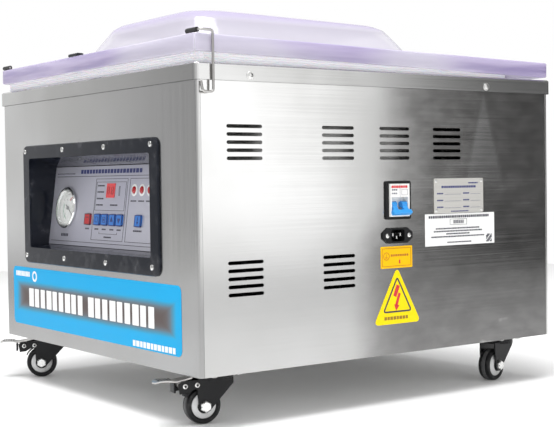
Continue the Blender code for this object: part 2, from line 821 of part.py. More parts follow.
def power_inlet():
    """A three-pin appliance inlet with a flanged front."""
    y, z = INLET_AT
    face = BODY_W / 2 + GAP
    ear = 0.0278
    flange = [(y - ear, z + 0.004), (y - 0.018, z + 0.011), (y + 0.018, z + 0.011), (y + ear, z + 0.004)]
    flange += [(y + ear, z - 0.004), (y + 0.018, z - 0.011), (y - 0.018, z - 0.011), (y - ear, z - 0.004)]
    item = add("power_inlet", prism(flange, sideways, face, face + 0.0025), black_plastic())
    shell = rounded(0.0290, 0.0196, 0.002, 1, (y, z))
    joined(item, [prism(shell, sideways, face - 0.020, face + 0.0015)])
    socket = rounded(0.0250, 0.0170, 0.003, 2, (y, z))
    drilled(item, [prism(socket, sideways, face - 0.0170, face + 0.010)])
    pins = bmesh.new()
    for dy, dz in ((-0.007, 0.0012), (0.007, 0.0012), (0, -0.0028)):
        pin = rounded(0.0020, 0.0040, 0.0004, 1, (y + dy, z + dz))
        loft(pins, [sideways(pin, face - 0.0180), sideways(pin, face - 0.0010)])
    joined(item, [pins])


def data_plate():
    """The rating plate and its four rivets."""
    y, z = PLATE_AT
    w, h = PLATE_SIZE
    face = BODY_W / 2 + GAP
    outline = rounded(w, h, 0.002, 2, (y, z))
    item = add("data_plate", prism(outline, sideways, face, face + 0.0008), aluminium())
    rivets = bmesh.new()
    for sy in (-1, 1):
        for sz in (-1, 1):
            spot = (y + sy * (w / 2 - 0.004), z + sz * (h / 2 - 0.004))
            low = circle(0.0019, 10, sideways, spot, face + 0.0004)
            high = circle(0.0013, 10, sideways, spot, face + 0.0018)
            loft(rivets, [low, high])
    joined(item, [rivets])


# Inside the cabinet


def vacuum_pump():
    """An oil-sealed pump and its motor on one foot plate, with the oil filter on top."""
    floor = CASTER_H + 2 * SHEET + GAP
    item = add("vacuum_pump", block((-0.210, -0.030, floor), (0.110, 0.150, floor + 0.008)), black_steel())
    gearbox = block((-0.210, -0.010, floor + 0.007), (-0.070, 0.130, 0.215))
    motor = turned([(0.062, -0.071), (0.062, 0.080), (0.052, 0.090)], sideways, 20, (PUMP_Y, PUMP_Z))
    foot = block((-0.040, 0.010, floor + 0.007), (0.060, 0.110, 0.110))
    stub = turned([(0.010, 0.088), (0.010, 0.106)], sideways, 12, (PUMP_Y, PUMP_Z))
    oil = turned([(0.036, 0.214), (0.036, 0.285), (0.028, 0.292)], flat, 16, (-0.150, 0.060))
    port = turned([(0.013, 0.214), (0.013, 0.235)], flat, 12, (-0.095, 0.020))
    joined(item, [gearbox, motor, foot, stub, oil, port])


def motor_fan():
    """The motor's cooling fan: a hub and seven straight blades on the shaft stub."""
    axis = frame_at("fan_axis", (0.107, PUMP_Y, PUMP_Z))
    hub = [(0.014, 0.0), (0.014, 0.014)]
    item = add("motor_fan", turned(hub, sideways, 14), black_plastic(), axis)
    blades = bmesh.new()
    for k in range(7):
        angle = 2 * math.pi * k / 7
        out = (math.cos(angle), math.sin(angle))
        side = (-out[1], out[0])
        outline = []
        for a, c in ((0.010, -0.0015), (0.056, -0.0015), (0.056, 0.0015), (0.010, 0.0015)):
            outline.append((out[0] * a + side[0] * c, out[1] * a + side[1] * c))
        loft(blades, [sideways(outline, 0.001), sideways(outline, 0.013)])
    joined(item, [blades])


def transformer():
    """The sealing transformer: an iron core with its winding."""
    floor = CASTER_H + 2 * SHEET + GAP
    core = block((0.150, -0.240, floor), (0.240, -0.180, floor + 0.080))
    item = add("transformer", core, black_steel())
    joined(item, [block((0.168, -0.256, floor + 0.015), (0.222, -0.164, floor + 0.065))])


def vacuum_hose():
    """The reinforced hose from the pump's port to the chamber floor."""
    chamber_floor = CHAMBER_FLOOR - 0.003
    route = [
        (-0.095, 0.020, 0.236),
        (-0.095, 0.020, 0.255),
        (-0.092, 0.014, 0.275),
        (-0.082, -0.004, 0.292),
        (-0.072, -0.022, 0.308),
        (-0.069, -0.028, 0.328),
        (-0.069, -0.028, chamber_floor),
    ]
    grey = material("hose", (0.25, 0.27, 0.28), 0.5)
    bent_wire("vacuum_hose", smooth_route(route, 3), 0.011, grey)


# Casters


def fork_outline():
    """The side view of a fork cheek: it leans from the swivel race down to the axle."""
    hub = 0.0090
    boss = []
    for degrees in (180, 225, 270, 315):
        angle = math.radians(degrees)
        boss.append((-TRAIL + hub * math.cos(angle), WHEEL_R + hub * math.sin(angle)))
    front = [(0.019, 0.0600), (0.019, 0.0530)]
    rear = [(-0.0315, 0.0455), (-0.0315, 0.0600)]
    return front + list(reversed(boss)) + rear


def brake_ears():
    """The rearward part of a braked fork's cheek, which carries the pedal's rivets."""
    outline = [(-0.028, 0.0600), (-0.028, 0.0470), (-0.038, 0.0490), (-0.046, 0.0440)]
    outline += [(-0.056, 0.0430), (-0.058, 0.0560), (-0.052, 0.0590)]
    return outline


def caster(name, spot):
    """A swivel caster: a top plate, a turning fork with its axle bolt, and a wheel."""
    x, y, turn = spot
    race_r = 0.0230
    top = CASTER_H - GAP
    corner = [(-0.030, -0.025), (0.030, -0.025), (0.030, 0.025), (-0.030, 0.025)]
    sheet = prism(corner, flat, top - 0.0025, top)
    plate = add(f"{name}_plate", sheet, black_steel(), None, (x, y, 0), smooth=40)
    joined(plate, [turned([(race_r, 0.0608), (race_r, top - 0.002)], flat, 20)])

    swivel = frame_at(f"{name}_swivel_axis", (x, y, 0), (0, 0, turn))
    crown = turned([(race_r, 0.0570), (race_r, 0.0605)], flat, 20)
    fork = add(f"{name}_fork", crown, black_steel(), swivel, smooth=40)
    parts = []
    braked = name.startswith("front")
    for side in (-1, 1):
        a, b = sorted((side * FORK_IN, side * FORK_OUT))
        parts.append(prism(fork_outline(), sideways, a, b))
        if braked:
            parts.append(prism(brake_ears(), sideways, a, b))
    axle = (-TRAIL, WHEEL_R)
    parts.append(turned([(0.0040, -0.0160), (0.0040, 0.0160)], sideways, 10, axle))
    for a, b in ((-0.0190, -0.0140), (0.0140, 0.0190)):
        parts.append(turned([(0.0068, a), (0.0068, b)], sideways, 6, axle))
    if braked:
        for pin in (BRAKE_PIN, GUARD_PIN):
            parts.append(turned([(0.0022, -0.0150), (0.0022, 0.0150)], sideways, 8, pin))
    joined(fork, parts)

    hub = frame_at(f"{name}_wheel_axis", (0, -TRAIL, WHEEL_R), (0, 0, 0), swivel)
    half = WHEEL_T / 2
    edge = 0.004
    tyre = [
        (0.0044, -half - 0.0015),
        (0.0100, -half - 0.0015),
        (0.0160, -half + 0.0010),
        (WHEEL_R - edge, -half),
        (WHEEL_R - 0.001, -half + 0.003),
        (WHEEL_R, -0.0030),
        (WHEEL_R, 0.0030),
        (WHEEL_R - 0.001, half - 0.003),
        (WHEEL_R - edge, half),
        (0.0160, half - 0.0010),
        (0.0100, half + 0.0015),
        (0.0044, half + 0.0015),
    ]
    add(f"{name}_wheel", turned(tyre, sideways, 24, closed=True), rubber(), hub, smooth=40)
    if braked:
        brake_pedal(name, swivel)


def brake_pedal(name, swivel):
    """The pressed pedal that locks the wheel when its toe is pushed down."""
    pin_y, pin_z = BRAKE_PIN
    axis = frame_at(f"{name}_brake_axis", (0, pin_y, pin_z), (0, 0, 0), swivel)
    thick = 0.0020
    line = [(0.0120, 0.0088, 0.009), (0.0, 0.0065, 0.0105), (-0.0100, 0.0050, 0.0105)]
    line += [(-0.0130, 0.0052, 0.012), (-0.0240, 0.0075, 0.013), (-0.0340, 0.0070, 0.012)]
    line.append((-0.0400, 0.0045, 0.008))
    rings = []
    for y, z, half in line:
        rings.append([(-half, y, z), (half, y, z), (half, y, z + thick), (-half, y, z + thick)])
    item = add(f"{name}_pedal", loft(bmesh.new(), rings), zinc(), axis)
    eye = [(0.0026, -0.0110), (0.0050, -0.0110), (0.0050, 0.0110), (0.0026, 0.0110)]
    bridge = block((-0.008, -0.003, 0.0040), (0.008, 0.003, 0.0075))
    joined(item, [turned(eye, sideways, 12, closed=True), bridge])


def build():
    clear_scene()
    base_plate()
    front_panel()
    left_side_panel()
    right_side_panel()
    rear_panel()
    rim_deck()
    vacuum_chamber()
    filler_board()
    for name, y in (("front", FRONT_BAR_Y), ("rear", REAR_BAR_Y)):
        bar_lifter(f"{name}_bar_lifter", y)
        seal_bar(f"{name}_seal_bar", y)

    upright_pivot = frame_at("lid_axis", (0, HINGE_Y, HINGE_Z))
    pivot = frame_at("lid_tilt", (0, 0, 0), (-LID_TILT, 0, 0), upright_pivot)
    lid(pivot)
    lid_gasket(upright_pivot)
    counter_bar("front_counter_bar", FRONT_BAR_Y, pivot)
    counter_bar("rear_counter_bar", REAR_BAR_Y, pivot)
    hinge("left", -HINGE_X, pivot)
    hinge("right", HINGE_X, pivot)
    lift_tab(pivot)
    lid_clip("left", -1, upright_pivot)
    lid_clip("right", 1, upright_pivot)

    control_bezel()
    control_housing()
    tilted = frame_at("panel_plane", (0, *PANEL_FOOT), (-PANEL_TILT, 0, 0))
    control_panel(tilted)
    vacuum_gauge(tilted)
    gauge_needle(tilted)
    for name, x in KEYS.items():
        panel_key(name, x, tilted)

    power_switch()
    power_inlet()
    data_plate()
    vacuum_pump()
    motor_fan()
    transformer()
    vacuum_hose()
    for name, spot in CASTERS.items():
        caster(name, spot)


build()
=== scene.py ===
"""A chamber vacuum sealer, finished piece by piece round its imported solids.

Metres, +Z up, the floor at Z = 0, +Y to the rear, +X to the right of someone at the control panel.
"""

import json
import math

import bmesh
import bpy
from mathutils import Matrix, Vector


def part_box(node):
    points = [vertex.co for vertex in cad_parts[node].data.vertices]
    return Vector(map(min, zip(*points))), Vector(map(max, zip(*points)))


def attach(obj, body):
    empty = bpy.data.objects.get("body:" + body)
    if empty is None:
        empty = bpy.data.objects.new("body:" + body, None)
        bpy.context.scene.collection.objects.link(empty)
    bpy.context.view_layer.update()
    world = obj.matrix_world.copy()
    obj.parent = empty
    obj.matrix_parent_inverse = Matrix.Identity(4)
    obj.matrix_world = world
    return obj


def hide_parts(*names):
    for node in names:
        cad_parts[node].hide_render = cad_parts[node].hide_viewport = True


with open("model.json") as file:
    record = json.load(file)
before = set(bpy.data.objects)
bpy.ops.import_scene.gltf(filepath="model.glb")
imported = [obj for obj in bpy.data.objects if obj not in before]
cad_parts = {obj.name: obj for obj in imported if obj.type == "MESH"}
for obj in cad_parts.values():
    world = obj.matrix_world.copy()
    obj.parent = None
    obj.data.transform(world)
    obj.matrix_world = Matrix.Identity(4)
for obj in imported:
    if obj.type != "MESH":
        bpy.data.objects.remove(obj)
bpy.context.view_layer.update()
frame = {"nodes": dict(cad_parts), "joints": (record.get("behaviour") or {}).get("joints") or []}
nodes = frame["nodes"]


# Studio: a white floor disc, a pale sky that is darker in two places so that steel has something to
# mirror, two large soft lamps, and the camera at the front right corner at the height of the panel.

FLOOR_RADIUS = 2.6
CAMERA_PLACE = (1.5777, -1.1277, 0.3212)
CAMERA_YAW = math.radians(54.09)
CAMERA_PITCH = math.radians(88.35)
CAMERA_ROLL = math.radians(-0.82)
CAMERA_LENS = 77.8

scene = bpy.context.scene
scene.view_settings.view_transform = "Standard"
camera = bpy.data.objects.new("camera", bpy.data.cameras.new("camera"))
scene.collection.objects.link(camera)
turn = Matrix.Rotation(CAMERA_YAW, 4, "Z") @ Matrix.Rotation(CAMERA_PITCH, 4, "X")
camera.matrix_world = Matrix.Translation(CAMERA_PLACE) @ turn @ Matrix.Rotation(CAMERA_ROLL, 4, "Z")
camera.data.lens = CAMERA_LENS
camera.data.sensor_width = 36.0
scene.camera = camera


class Field:
    """A shader value. Arithmetic on it adds Math nodes to its finish."""

    def __init__(self, finish, socket):
        self.finish = finish
        self.socket = socket

    def with_other(self, operation, first, second):
        return self.finish.node("Math", {"operation": operation}, {0: first, 1: second})

    def __add__(self, other):
        return self.with_other("ADD", self, other)

    def __mul__(self, other):
        return self.with_other("MULTIPLY", self, other)

    def __sub__(self, other):
        return self.with_other("SUBTRACT", self, other)

    def __rsub__(self, other):
        return self.with_other("SUBTRACT", other, self)

    __radd__ = __add__
    __rmul__ = __mul__

    def size(self):
        return self.with_other("ABSOLUTE", self, 0.0)

    def largest(self, other):
        return self.with_other("MAXIMUM", self, other)

    def rising(self, low, high):
        """0 up to low, 1 from high, and smooth between. It falls where low is above high."""
        ends = {"Value": self, "From Min": low, "From Max": high}
        return self.finish.node("MapRange", {"interpolation_type": "SMOOTHSTEP"}, ends)


class Nodes:
    """A node tree that is filled one node at a time."""

    def __init__(self, tree):
        self.tree = tree

    def node(self, kind, settings=None, sockets=None, output=0):
        made = self.tree.nodes.new("ShaderNode" + kind)
        for key, value in (settings or {}).items():
            if key == "stops":
                ramp = made.color_ramp.elements
                for spot, color in value[1:-1]:
                    ramp.new(spot).color = (*color, 1.0)
                for stop, (spot, color) in ((ramp[0], value[0]), (ramp[-1], value[-1])):
                    stop.position = spot
                    stop.color = (*color, 1.0)
            else:
                setattr(made, key, value)
        for key, value in (sockets or {}).items():
            self.feed(made.inputs[key], value)
        return Field(self, made.outputs[output])

    def feed(self, socket, value):
        if isinstance(value, Field):
            self.tree.links.new(value.socket, socket)
        else:
            socket.default_value = value


def sky():
    """The sky's brightness by compass direction, white to the camera itself."""
    world = bpy.data.worlds.new("sky")
    scene.world = world
    world.use_nodes = True
    tree = Nodes(world.node_tree)
    way = tree.node("TexCoord", output="Generated")
    east = tree.node("SeparateXYZ", None, {0: way}, "X")
    north = tree.node("SeparateXYZ", None, {0: way}, "Y")
    up = tree.node("SeparateXYZ", None, {0: way}, "Z")
    compass = tree.node("Math", {"operation": "ARCTAN2"}, {0: north, 1: east}) * (0.5 / math.pi) + 0.5
    stops = []
    for degrees, light in SKY_LIGHT:
        stops.append((degrees / 360 + 0.5, (light,) * 3))
    ring = tree.node("ValToRGB", {"stops": stops}, {0: compass}, "Color")
    overhead = up.rising(0.3, 0.85)
    dome = tree.node("Mix", {"data_type": "RGBA"}, {0: overhead, 6: ring, 7: (0.55, 0.55, 0.55, 1.0)}, 2)
    seen = tree.node("LightPath", None, None, "Is Camera Ray")
    shown = tree.node("Mix", {"data_type": "RGBA"}, {0: seen, 6: dome, 7: (1.0, 1.0, 1.0, 1.0)}, 2)
    back = world.node_tree.nodes["Background"]
    tree.feed(back.inputs["Color"], shown)


SKY_LIGHT = (
    (-180, 1.1),
    (-163, 1.15),
    (-156, 0.85),
    (-149, 0.32),
    (-140, 0.28),
    (-115, 0.35),
    (-60, 0.6),
    (0, 1.00),
    (20, 1.35),
    (39, 1.35),
    (43, 0.12),
    (88, 0.05),
    (120, 0.4),
    (180, 1.1),
)
sky()


def lamp(name, place, target, side, watts):
    """A square soft lamp that faces a point."""
    data = bpy.data.lights.new(name, "AREA")
    data.shape = "SQUARE"
    data.size = side
    data.energy = watts
    item = bpy.data.objects.new(name, data)
    scene.collection.objects.link(item)
    item.location = place
    item.rotation_euler = (Vector(target) - Vector(place)).to_track_quat("-Z", "Y").to_euler()


lamp("overhead_lamp", (0.3, -0.4, 2.6), (0, 0, 0.2), 1.7, 92)
lamp("front_lamp", (1.2, -2.6, 2.0), (0, 0, 0.3), 1.2, 10)

bpy.ops.object.select_all(action="DESELECT")
bpy.ops.mesh.primitive_circle_add(vertices=96, radius=FLOOR_RADIUS, fill_type="NGON")
floor = bpy.context.active_object
floor.name = "floor"
floor_finish = bpy.data.materials.new("white_floor")
floor_finish.use_nodes = True
floor_shader = floor_finish.node_tree.nodes["Principled BSDF"]
floor_look = {
    "Base Color": (0.94, 0.94, 0.94, 1.0),
    "Roughness": 0.8,
    "Specular IOR Level": 0.1,
    "Emission Color": (1.0, 1.0, 1.0, 1.0),
    "Emission Strength": 0.03,
}
for socket, value in floor_look.items():
    floor_shader.inputs[socket].default_value = value
floor.data.materials.append(floor_finish)


# Cabinet sheets: 1.5 mm brushed stainless steel, folded at the corners and screwed to the base tray.
# The grain runs along each sheet. The front and side sheets' colour is darkened towards the bottom, painted
# shade for the shadowed floor they mirror there. The sides also carry a darkened rear part, partly painted
# shade for the dark reflection there and partly smears and wipe marks that handling leaves.


class Finish(Nodes):
    """A surface finish: one Principled shader, and the nodes that vary it over a piece."""

    def __init__(self, name, color, roughness, metallic=0.0, **fixed):
        self.material = bpy.data.materials.new(name)
        self.material.use_nodes = True
        super().__init__(self.material.node_tree)
        self.shader = self.tree.nodes["Principled BSDF"]
        self.vary({"Base Color": (*color, 1.0), "Roughness": roughness, "Metallic": metallic})
        for socket, value in fixed.items():
            self.shader.inputs[socket.replace("_", " ")].default_value = value

    def vary(self, sockets):
        for name, value in sockets.items():
            self.feed(self.shader.inputs[name], value)

    def place(self):
        return self.node("TexCoord", output="Object")

    def along(self, axis):
        return self.node("SeparateXYZ", None, {0: self.place()}, axis)

    def noise(self, scale, detail=2.0, stretch=(1, 1, 1), shift=0.0):
        spots = {"Vector": self.place(), "Scale": stretch, "Location": (shift, shift, shift)}
        mapped = self.node("Mapping", None, spots)
        return self.node("TexNoise", None, {"Vector": mapped, "Scale": scale, "Detail": detail})

    def mixed(self, amount, first, second):
        """A colour between two colours, each a triple or a Field."""
        ends = []
        for color in (first, second):
            ends.append(color if isinstance(color, Field) else (*color, 1.0))
        return self.node("Mix", {"data_type": "RGBA"}, {0: amount, 6: ends[0], 7: ends[1]}, 2)

    def tinted(self, amount, first, second):
        self.vary({"Base Color": self.mixed(amount, first, second)})

    def bands(self, axis, scale):
        settings = {"wave_type": "BANDS", "bands_direction": axis}
        return self.node("TexWave", settings, {"Vector": self.place(), "Scale": scale}, "Fac")

    def bumped(self, height, distance, strength=1.0):
        sockets = {"Strength": strength, "Distance": distance, "Height": height}
        self.vary({"Normal": self.node("Bump", None, sockets)})


GRAIN_SCALE = {"X": (3, 700, 700), "Y": (700, 3, 700), "Z": (700, 700, 3)}


def steel(name, grain, bright, dull, rough=0.24):
    """Brushed stainless: fine lines along the grain, and slow clouds in tone and gloss."""
    made = Finish(name, bright, rough, 1.0)
    lines = made.noise(1.0, 2.0, GRAIN_SCALE[grain])
    clouds = made.noise(5.0, 4.0, (1, 1, 1), 3.1)
    tone = made.mixed(clouds.rising(0.35, 0.7), bright, dull)
    made.vary({"Roughness": rough + (lines - 0.5) * 0.16 + (clouds - 0.5) * 0.14})
    made.bumped(lines, 0.00002, 0.35)
    return made, tone


def dress(finish, *names):
    """Gives CAD nodes a finish."""
    for name in names:
        nodes[name].material_slots[0].material = finish.material


front_steel, tone = steel("front_steel", "Z", (0.66, 0.66, 0.66), (0.6, 0.6, 0.59), 0.2)
# Painted shade: the front sheet's colour is darkened towards the bottom, where it mirrors the shadowed
# floor.
low = front_steel.along("Z").rising(0.26, 0.13)
front_steel.tinted(low * 0.62, tone, (0.1, 0.1, 0.1))
dress(front_steel, "front_panel")

SHADE_FILM_START = -0.045
SHADE_FILM_FULL = 0.055


def side_steel():
    """The side sheets: a rear part darkened as painted shade for the dark reflection there, with smears and
    wipe arcs in it, painted shade low down, and pale dried runs low down.
    """
    made, tone = steel("side_steel", "Y", (0.78, 0.78, 0.775), (0.72, 0.72, 0.71), 0.16)
    y = made.along("Y")
    z = made.along("Z")
    edge = made.noise(9.0, 3.0, (1, 1, 0.4), 7.0)
    # Painted shade mixed with smears: this mask darkens the rear part of the sheet in place of the dark
    # reflection there, and the wipe arcs in it are smears.
    shade_film = (y + (edge - 0.5) * 0.07 + z.rising(0.3, 0.22) * 0.045).rising(SHADE_FILM_START, SHADE_FILM_FULL)
    wipes = made.noise(22.0, 5.0, (1, 1, 2.2), 1.7)
    warped = made.noise(7.0, 3.0, (1, 0.55, 1.6), 4.2) * 3.2 + made.noise(30.0, 2.0) * 0.25
    crest = made.node("Math", {"operation": "PINGPONG"}, {0: warped, 1: 0.5})
    runs = crest.rising(0.42, 0.49) * z.rising(0.24, 0.15) * y.rising(0.02, 0.1)
    streak_edge = (y - 0.184).size() - (0.452 - z) * 0.3
    streak = streak_edge.rising(0.004, -0.01) * z.rising(0.452, 0.44) * z.rising(0.27, 0.36)
    smoky_shade = made.mixed(wipes.rising(0.3, 0.7), (0.3, 0.295, 0.29), (0.44, 0.435, 0.43))
    shade_filmed = made.mixed(shade_film * 0.9, tone, smoky_shade)
    # Painted shade: the lower part of the sheet is darkened, where it mirrors the shadowed floor.
    low = z.rising(0.32, 0.14)
    shaded_low = made.mixed(low * (0.46 + shade_film * 0.24), shade_filmed, (0.08, 0.08, 0.08))
    run_marks = made.mixed(runs * 0.35, shaded_low, (0.62, 0.61, 0.6))
    made.tinted(streak * 0.45, run_marks, (0.8, 0.8, 0.8))
    return made


dress(side_steel(), "left_side_panel", "right_side_panel")


def plain_steel(name, grain, bright, dull, rough, *names):
    """Clean brushed metal, given to CAD nodes."""
    made, tone = steel(name, grain, bright, dull, rough)
    made.vary({"Base Color": tone})
    dress(made, *names)


plain_steel("rear_steel", "X", (0.64, 0.64, 0.635), (0.55, 0.55, 0.54), 0.3, "rear_panel", "base_plate")
plain_steel("rim_steel", "Y", (0.66, 0.66, 0.655), (0.56, 0.56, 0.55), 0.18, "rim_deck")


# Screws: bright truss-head machine screws with cross recesses. Two on each long side hold the deck's
# band to the cabinet, and eight hold the bezel. One head is turned and cut, and the rest are copies.


def at(x, y, z):
    return Matrix.Translation((x, y, z))


def spun(degrees, axis):
    return Matrix.Rotation(math.radians(degrees), 4, axis)


def edit_mode():
    bpy.ops.object.mode_set(mode="EDIT")


def object_mode():
    bpy.ops.object.mode_set(mode="OBJECT")


def clear_selection():
    bpy.ops.object.select_all(action="DESELECT")


def pick(item):
    clear_selection()
    item.select_set(True)
    bpy.context.view_layer.objects.active = item


def settled(item, name, place=Matrix()):
    """Names a piece and moves its mesh to its place in the machine's frame."""
    pick(item)
    item.matrix_world = place
    bpy.ops.object.transform_apply(location=True, rotation=True, scale=True)
    item.name = name
    item.data.name = name
    return item


def turned(rings, sides=24, bored=False):
    """A turned piece on the Z axis, drawn out ring by ring from (radius, height) pairs."""
    clear_selection()
    radius, height = rings[0]
    fill = "NOTHING" if bored else "NGON"
    bpy.ops.mesh.primitive_circle_add(vertices=sides, radius=radius, fill_type=fill, location=(0, 0, height))
    bpy.ops.object.transform_apply(location=True)
    edit_mode()
    bpy.ops.mesh.select_all(action="SELECT")
    for wide, high in rings[1:]:
        lift = {"value": (0, 0, high - height)}
        bpy.ops.mesh.extrude_region_move(TRANSFORM_OT_translate=lift)
        share = wide / radius
        bpy.ops.transform.resize(value=(share, share, 1), center_override=(0, 0, 0))
        radius, height = wide, high
    if bored:
        bpy.ops.mesh.select_all(action="DESELECT")
        bpy.ops.mesh.select_non_manifold()
        bpy.ops.mesh.bridge_edge_loops()
    bpy.ops.mesh.select_all(action="SELECT")
    bpy.ops.mesh.normals_make_consistent(inside=False)
    object_mode()
    return bpy.context.active_object


def smoothed(item, degrees=35):
    pick(item)
    bpy.ops.object.shade_smooth_by_angle(angle=math.radians(degrees))
    return item


def middle(node):
    low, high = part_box(node)
    return (low + high) / 2


def choose(item, kind, wanted):
    """Selects the edges or faces that pass a test. It is used in edit mode."""
    bpy.ops.mesh.select_mode(type=kind)
    bpy.ops.mesh.select_all(action="DESELECT")
    shape = bmesh.from_edit_mesh(item.data)
    for part in shape.edges if kind == "EDGE" else shape.faces:
        part.select_set(wanted(part))
    bmesh.update_edit_mesh(item.data)


def running(axis):
    """The test for edges that run along an axis."""
    return lambda line: abs((line.verts[1].co - line.verts[0].co)[axis]) > 0.99 * line.calc_length()


def slab(low, high, corner=0.0, across=2, edge=0.0, steps=4):
    """A plate between two corners. Its four edges along one axis are rounded, and its rims are eased."""
    clear_selection()
    bpy.ops.mesh.primitive_cube_add(size=1)
    item = bpy.context.active_object
    item.scale = [b - a for a, b in zip(low, high)]
    item.location = [(a + b) / 2 for a, b in zip(low, high)]
    bpy.ops.object.transform_apply(location=True, scale=True)
    if corner:
        edit_mode()
        choose(item, "EDGE", running(across))
        bpy.ops.mesh.bevel(offset=corner, segments=steps, affect="EDGES")
        object_mode()
    if edge:
        ease = item.modifiers.new("ease", "BEVEL")
        ease.width = edge
        ease.segments = 2
        ease.angle_limit = math.radians(50)
        bpy.ops.object.modifier_apply(modifier="ease")
    return item


def together(items):
    """Joins pieces into the first of them."""
    clear_selection()
    for item in items:
        item.select_set(True)
    bpy.context.view_layer.objects.active = items[0]
    if len(items) > 1:
        bpy.ops.object.join()
    return items[0]


def cut_away(item, cutter):
    pick(item)
    step = item.modifiers.new("cut", "BOOLEAN")
    step.operation = "DIFFERENCE"
    step.object = cutter
    bpy.ops.object.modifier_apply(modifier="cut")
    bpy.data.objects.remove(cutter, do_unlink=True)
    return item


def copied(item, place):
    twin = item.copy()
    twin.data = item.data.copy()
    scene.collection.objects.link(twin)
    return settled(twin, item.name, place)


def finished(item, finish, body):
    """The last word on a piece: its finish and the body that carries it."""
    item.data.materials.clear()
    item.data.materials.append(finish.material)
    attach(item, body)
    return item


def facing(x, y, z, way):
    """Where a piece drawn up its Z axis goes, so that it points along a direction."""
    turn = Vector(way).to_track_quat("Z", "Y").to_matrix().to_4x4()
    return at(x, y, z) @ turn


def screw_head(radius):
    """A low domed head with a cross cut into it."""
    dome = [(radius, 0.0), (radius, radius * 0.12)]
    for degrees in (25, 45, 65, 80):
        angle = math.radians(degrees)
        dome.append((radius * math.cos(angle) + 0.0002, radius * (0.12 + 0.42 * math.sin(angle))))
    head = turned(dome, 20)
    arm = radius * 0.55
    for wide, deep in ((arm, radius * 0.12), (radius * 0.12, arm)):
        head = cut_away(head, slab((-wide, -deep, radius * 0.28), (wide, deep, radius)))
    return smoothed(head, 30)


def fitted(name, parts, finish, place=Matrix(), body="cabinet"):
    """Joins parts into one piece at its place, and finishes it."""
    return finished(settled(together(parts), name, place), finish, body)


def screw_set(name, pattern, places, body="cabinet"):
    """Copies of one zinc-plated head, joined into one piece. The pattern itself goes."""
    heads = [copied(pattern, place) for place in places]
    bpy.data.objects.remove(pattern, do_unlink=True)
    fitted(name, heads, zinc, body=body)


def mottled(name, first, second, scale, rough, spread=0.0, share=1.0, detail=3.0, bump=0.0, metallic=0.0,
            stretch=(1, 1, 1), shift=0.0, **fixed):
    """A finish in which one fine pattern changes the colour, the gloss or the height."""
    made = Finish(name, first, rough, metallic, **fixed)
    spots = made.noise(scale, detail, stretch, shift)
    if share:
        made.tinted(spots * share, first, second)
    if spread:
        made.vary({"Roughness": rough + spots * spread})
    if bump:
        made.bumped(spots, bump)
    return made


zinc = mottled("zinc_plate", (0.8, 0.8, 0.79), (0.66, 0.66, 0.645), 90.0, 0.2, 0.16, metallic=1.0)

BAND_SCREW_Z = 0.4552
BAND_SCREW_Y = (-0.2442, 0.1861)
deck_low, deck_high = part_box("rim_deck")

head = screw_head(0.0042)
WASHER = [(0.0024, 0.0), (0.0056, 0.0), (0.0056, 0.0006), (0.0053, 0.0009), (0.0024, 0.0009)]
head = together([head, turned(WASHER, 20, True)])
places = []
for y in BAND_SCREW_Y:
    places.append(facing(deck_high.x, y, BAND_SCREW_Z, (1, 0, 0)))
    places.append(facing(deck_low.x, y, BAND_SCREW_Z, (-1, 0, 0)))
screw_set("band_screws", head, places)

bezel_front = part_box("control_bezel")[0].y
BEZEL_SCREW_X = (-0.21, -0.0765, 0.0565, 0.1885)
BEZEL_SCREW_Z = (0.3702, 0.2055)
places = [facing(x, bezel_front, z, (0, -1, 0)) for x in BEZEL_SCREW_X for z in BEZEL_SCREW_Z]
screw_set("bezel_screws", screw_head(0.004), places)


# Lid: one 22 mm sheet of clear acrylic with a dome drawn up in the middle. Its sawn and flamed edges
# look lavender, and so does the turn of the dome, where there is more of the sheet to look through.

lid_low, lid_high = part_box("lid")
LID_TILT = math.radians(0.877)
hinge = frame["joints"][[j["name"] for j in frame["joints"]].index("lid_hinge")]["pos_m"]
lid_place = Matrix.Translation(hinge) @ Matrix.Rotation(-LID_TILT, 4, "X")


def refined(node, name, sharp, levels):
    """A copy of a node with its facets made round: creased where it turns sharply, then subdivided."""
    twin = nodes[node].copy()
    twin.data = nodes[node].data.copy()
    for key in list(twin.keys()):
        del twin[key]
    scene.collection.objects.link(twin)
    twin.parent = None
    pick(twin)
    twin.name = name
    edit_mode()
    bpy.ops.mesh.select_all(action="SELECT")
    bpy.ops.mesh.remove_doubles(threshold=0.00001)
    bpy.ops.mesh.tris_convert_to_quads(face_threshold=math.radians(5), shape_threshold=math.radians(120))
    bpy.ops.mesh.select_all(action="DESELECT")
    bpy.ops.mesh.select_mode(type="EDGE")
    bpy.ops.mesh.edges_select_sharp(sharpness=math.radians(sharp))
    bpy.ops.transform.edge_crease(value=1.0)
    object_mode()
    round_off = twin.modifiers.new("round_off", "SUBSURF")
    round_off.levels = levels
    round_off.render_levels = levels
    bpy.ops.object.modifier_apply(modifier="round_off")
    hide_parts(node)
    return smoothed(twin, 25)


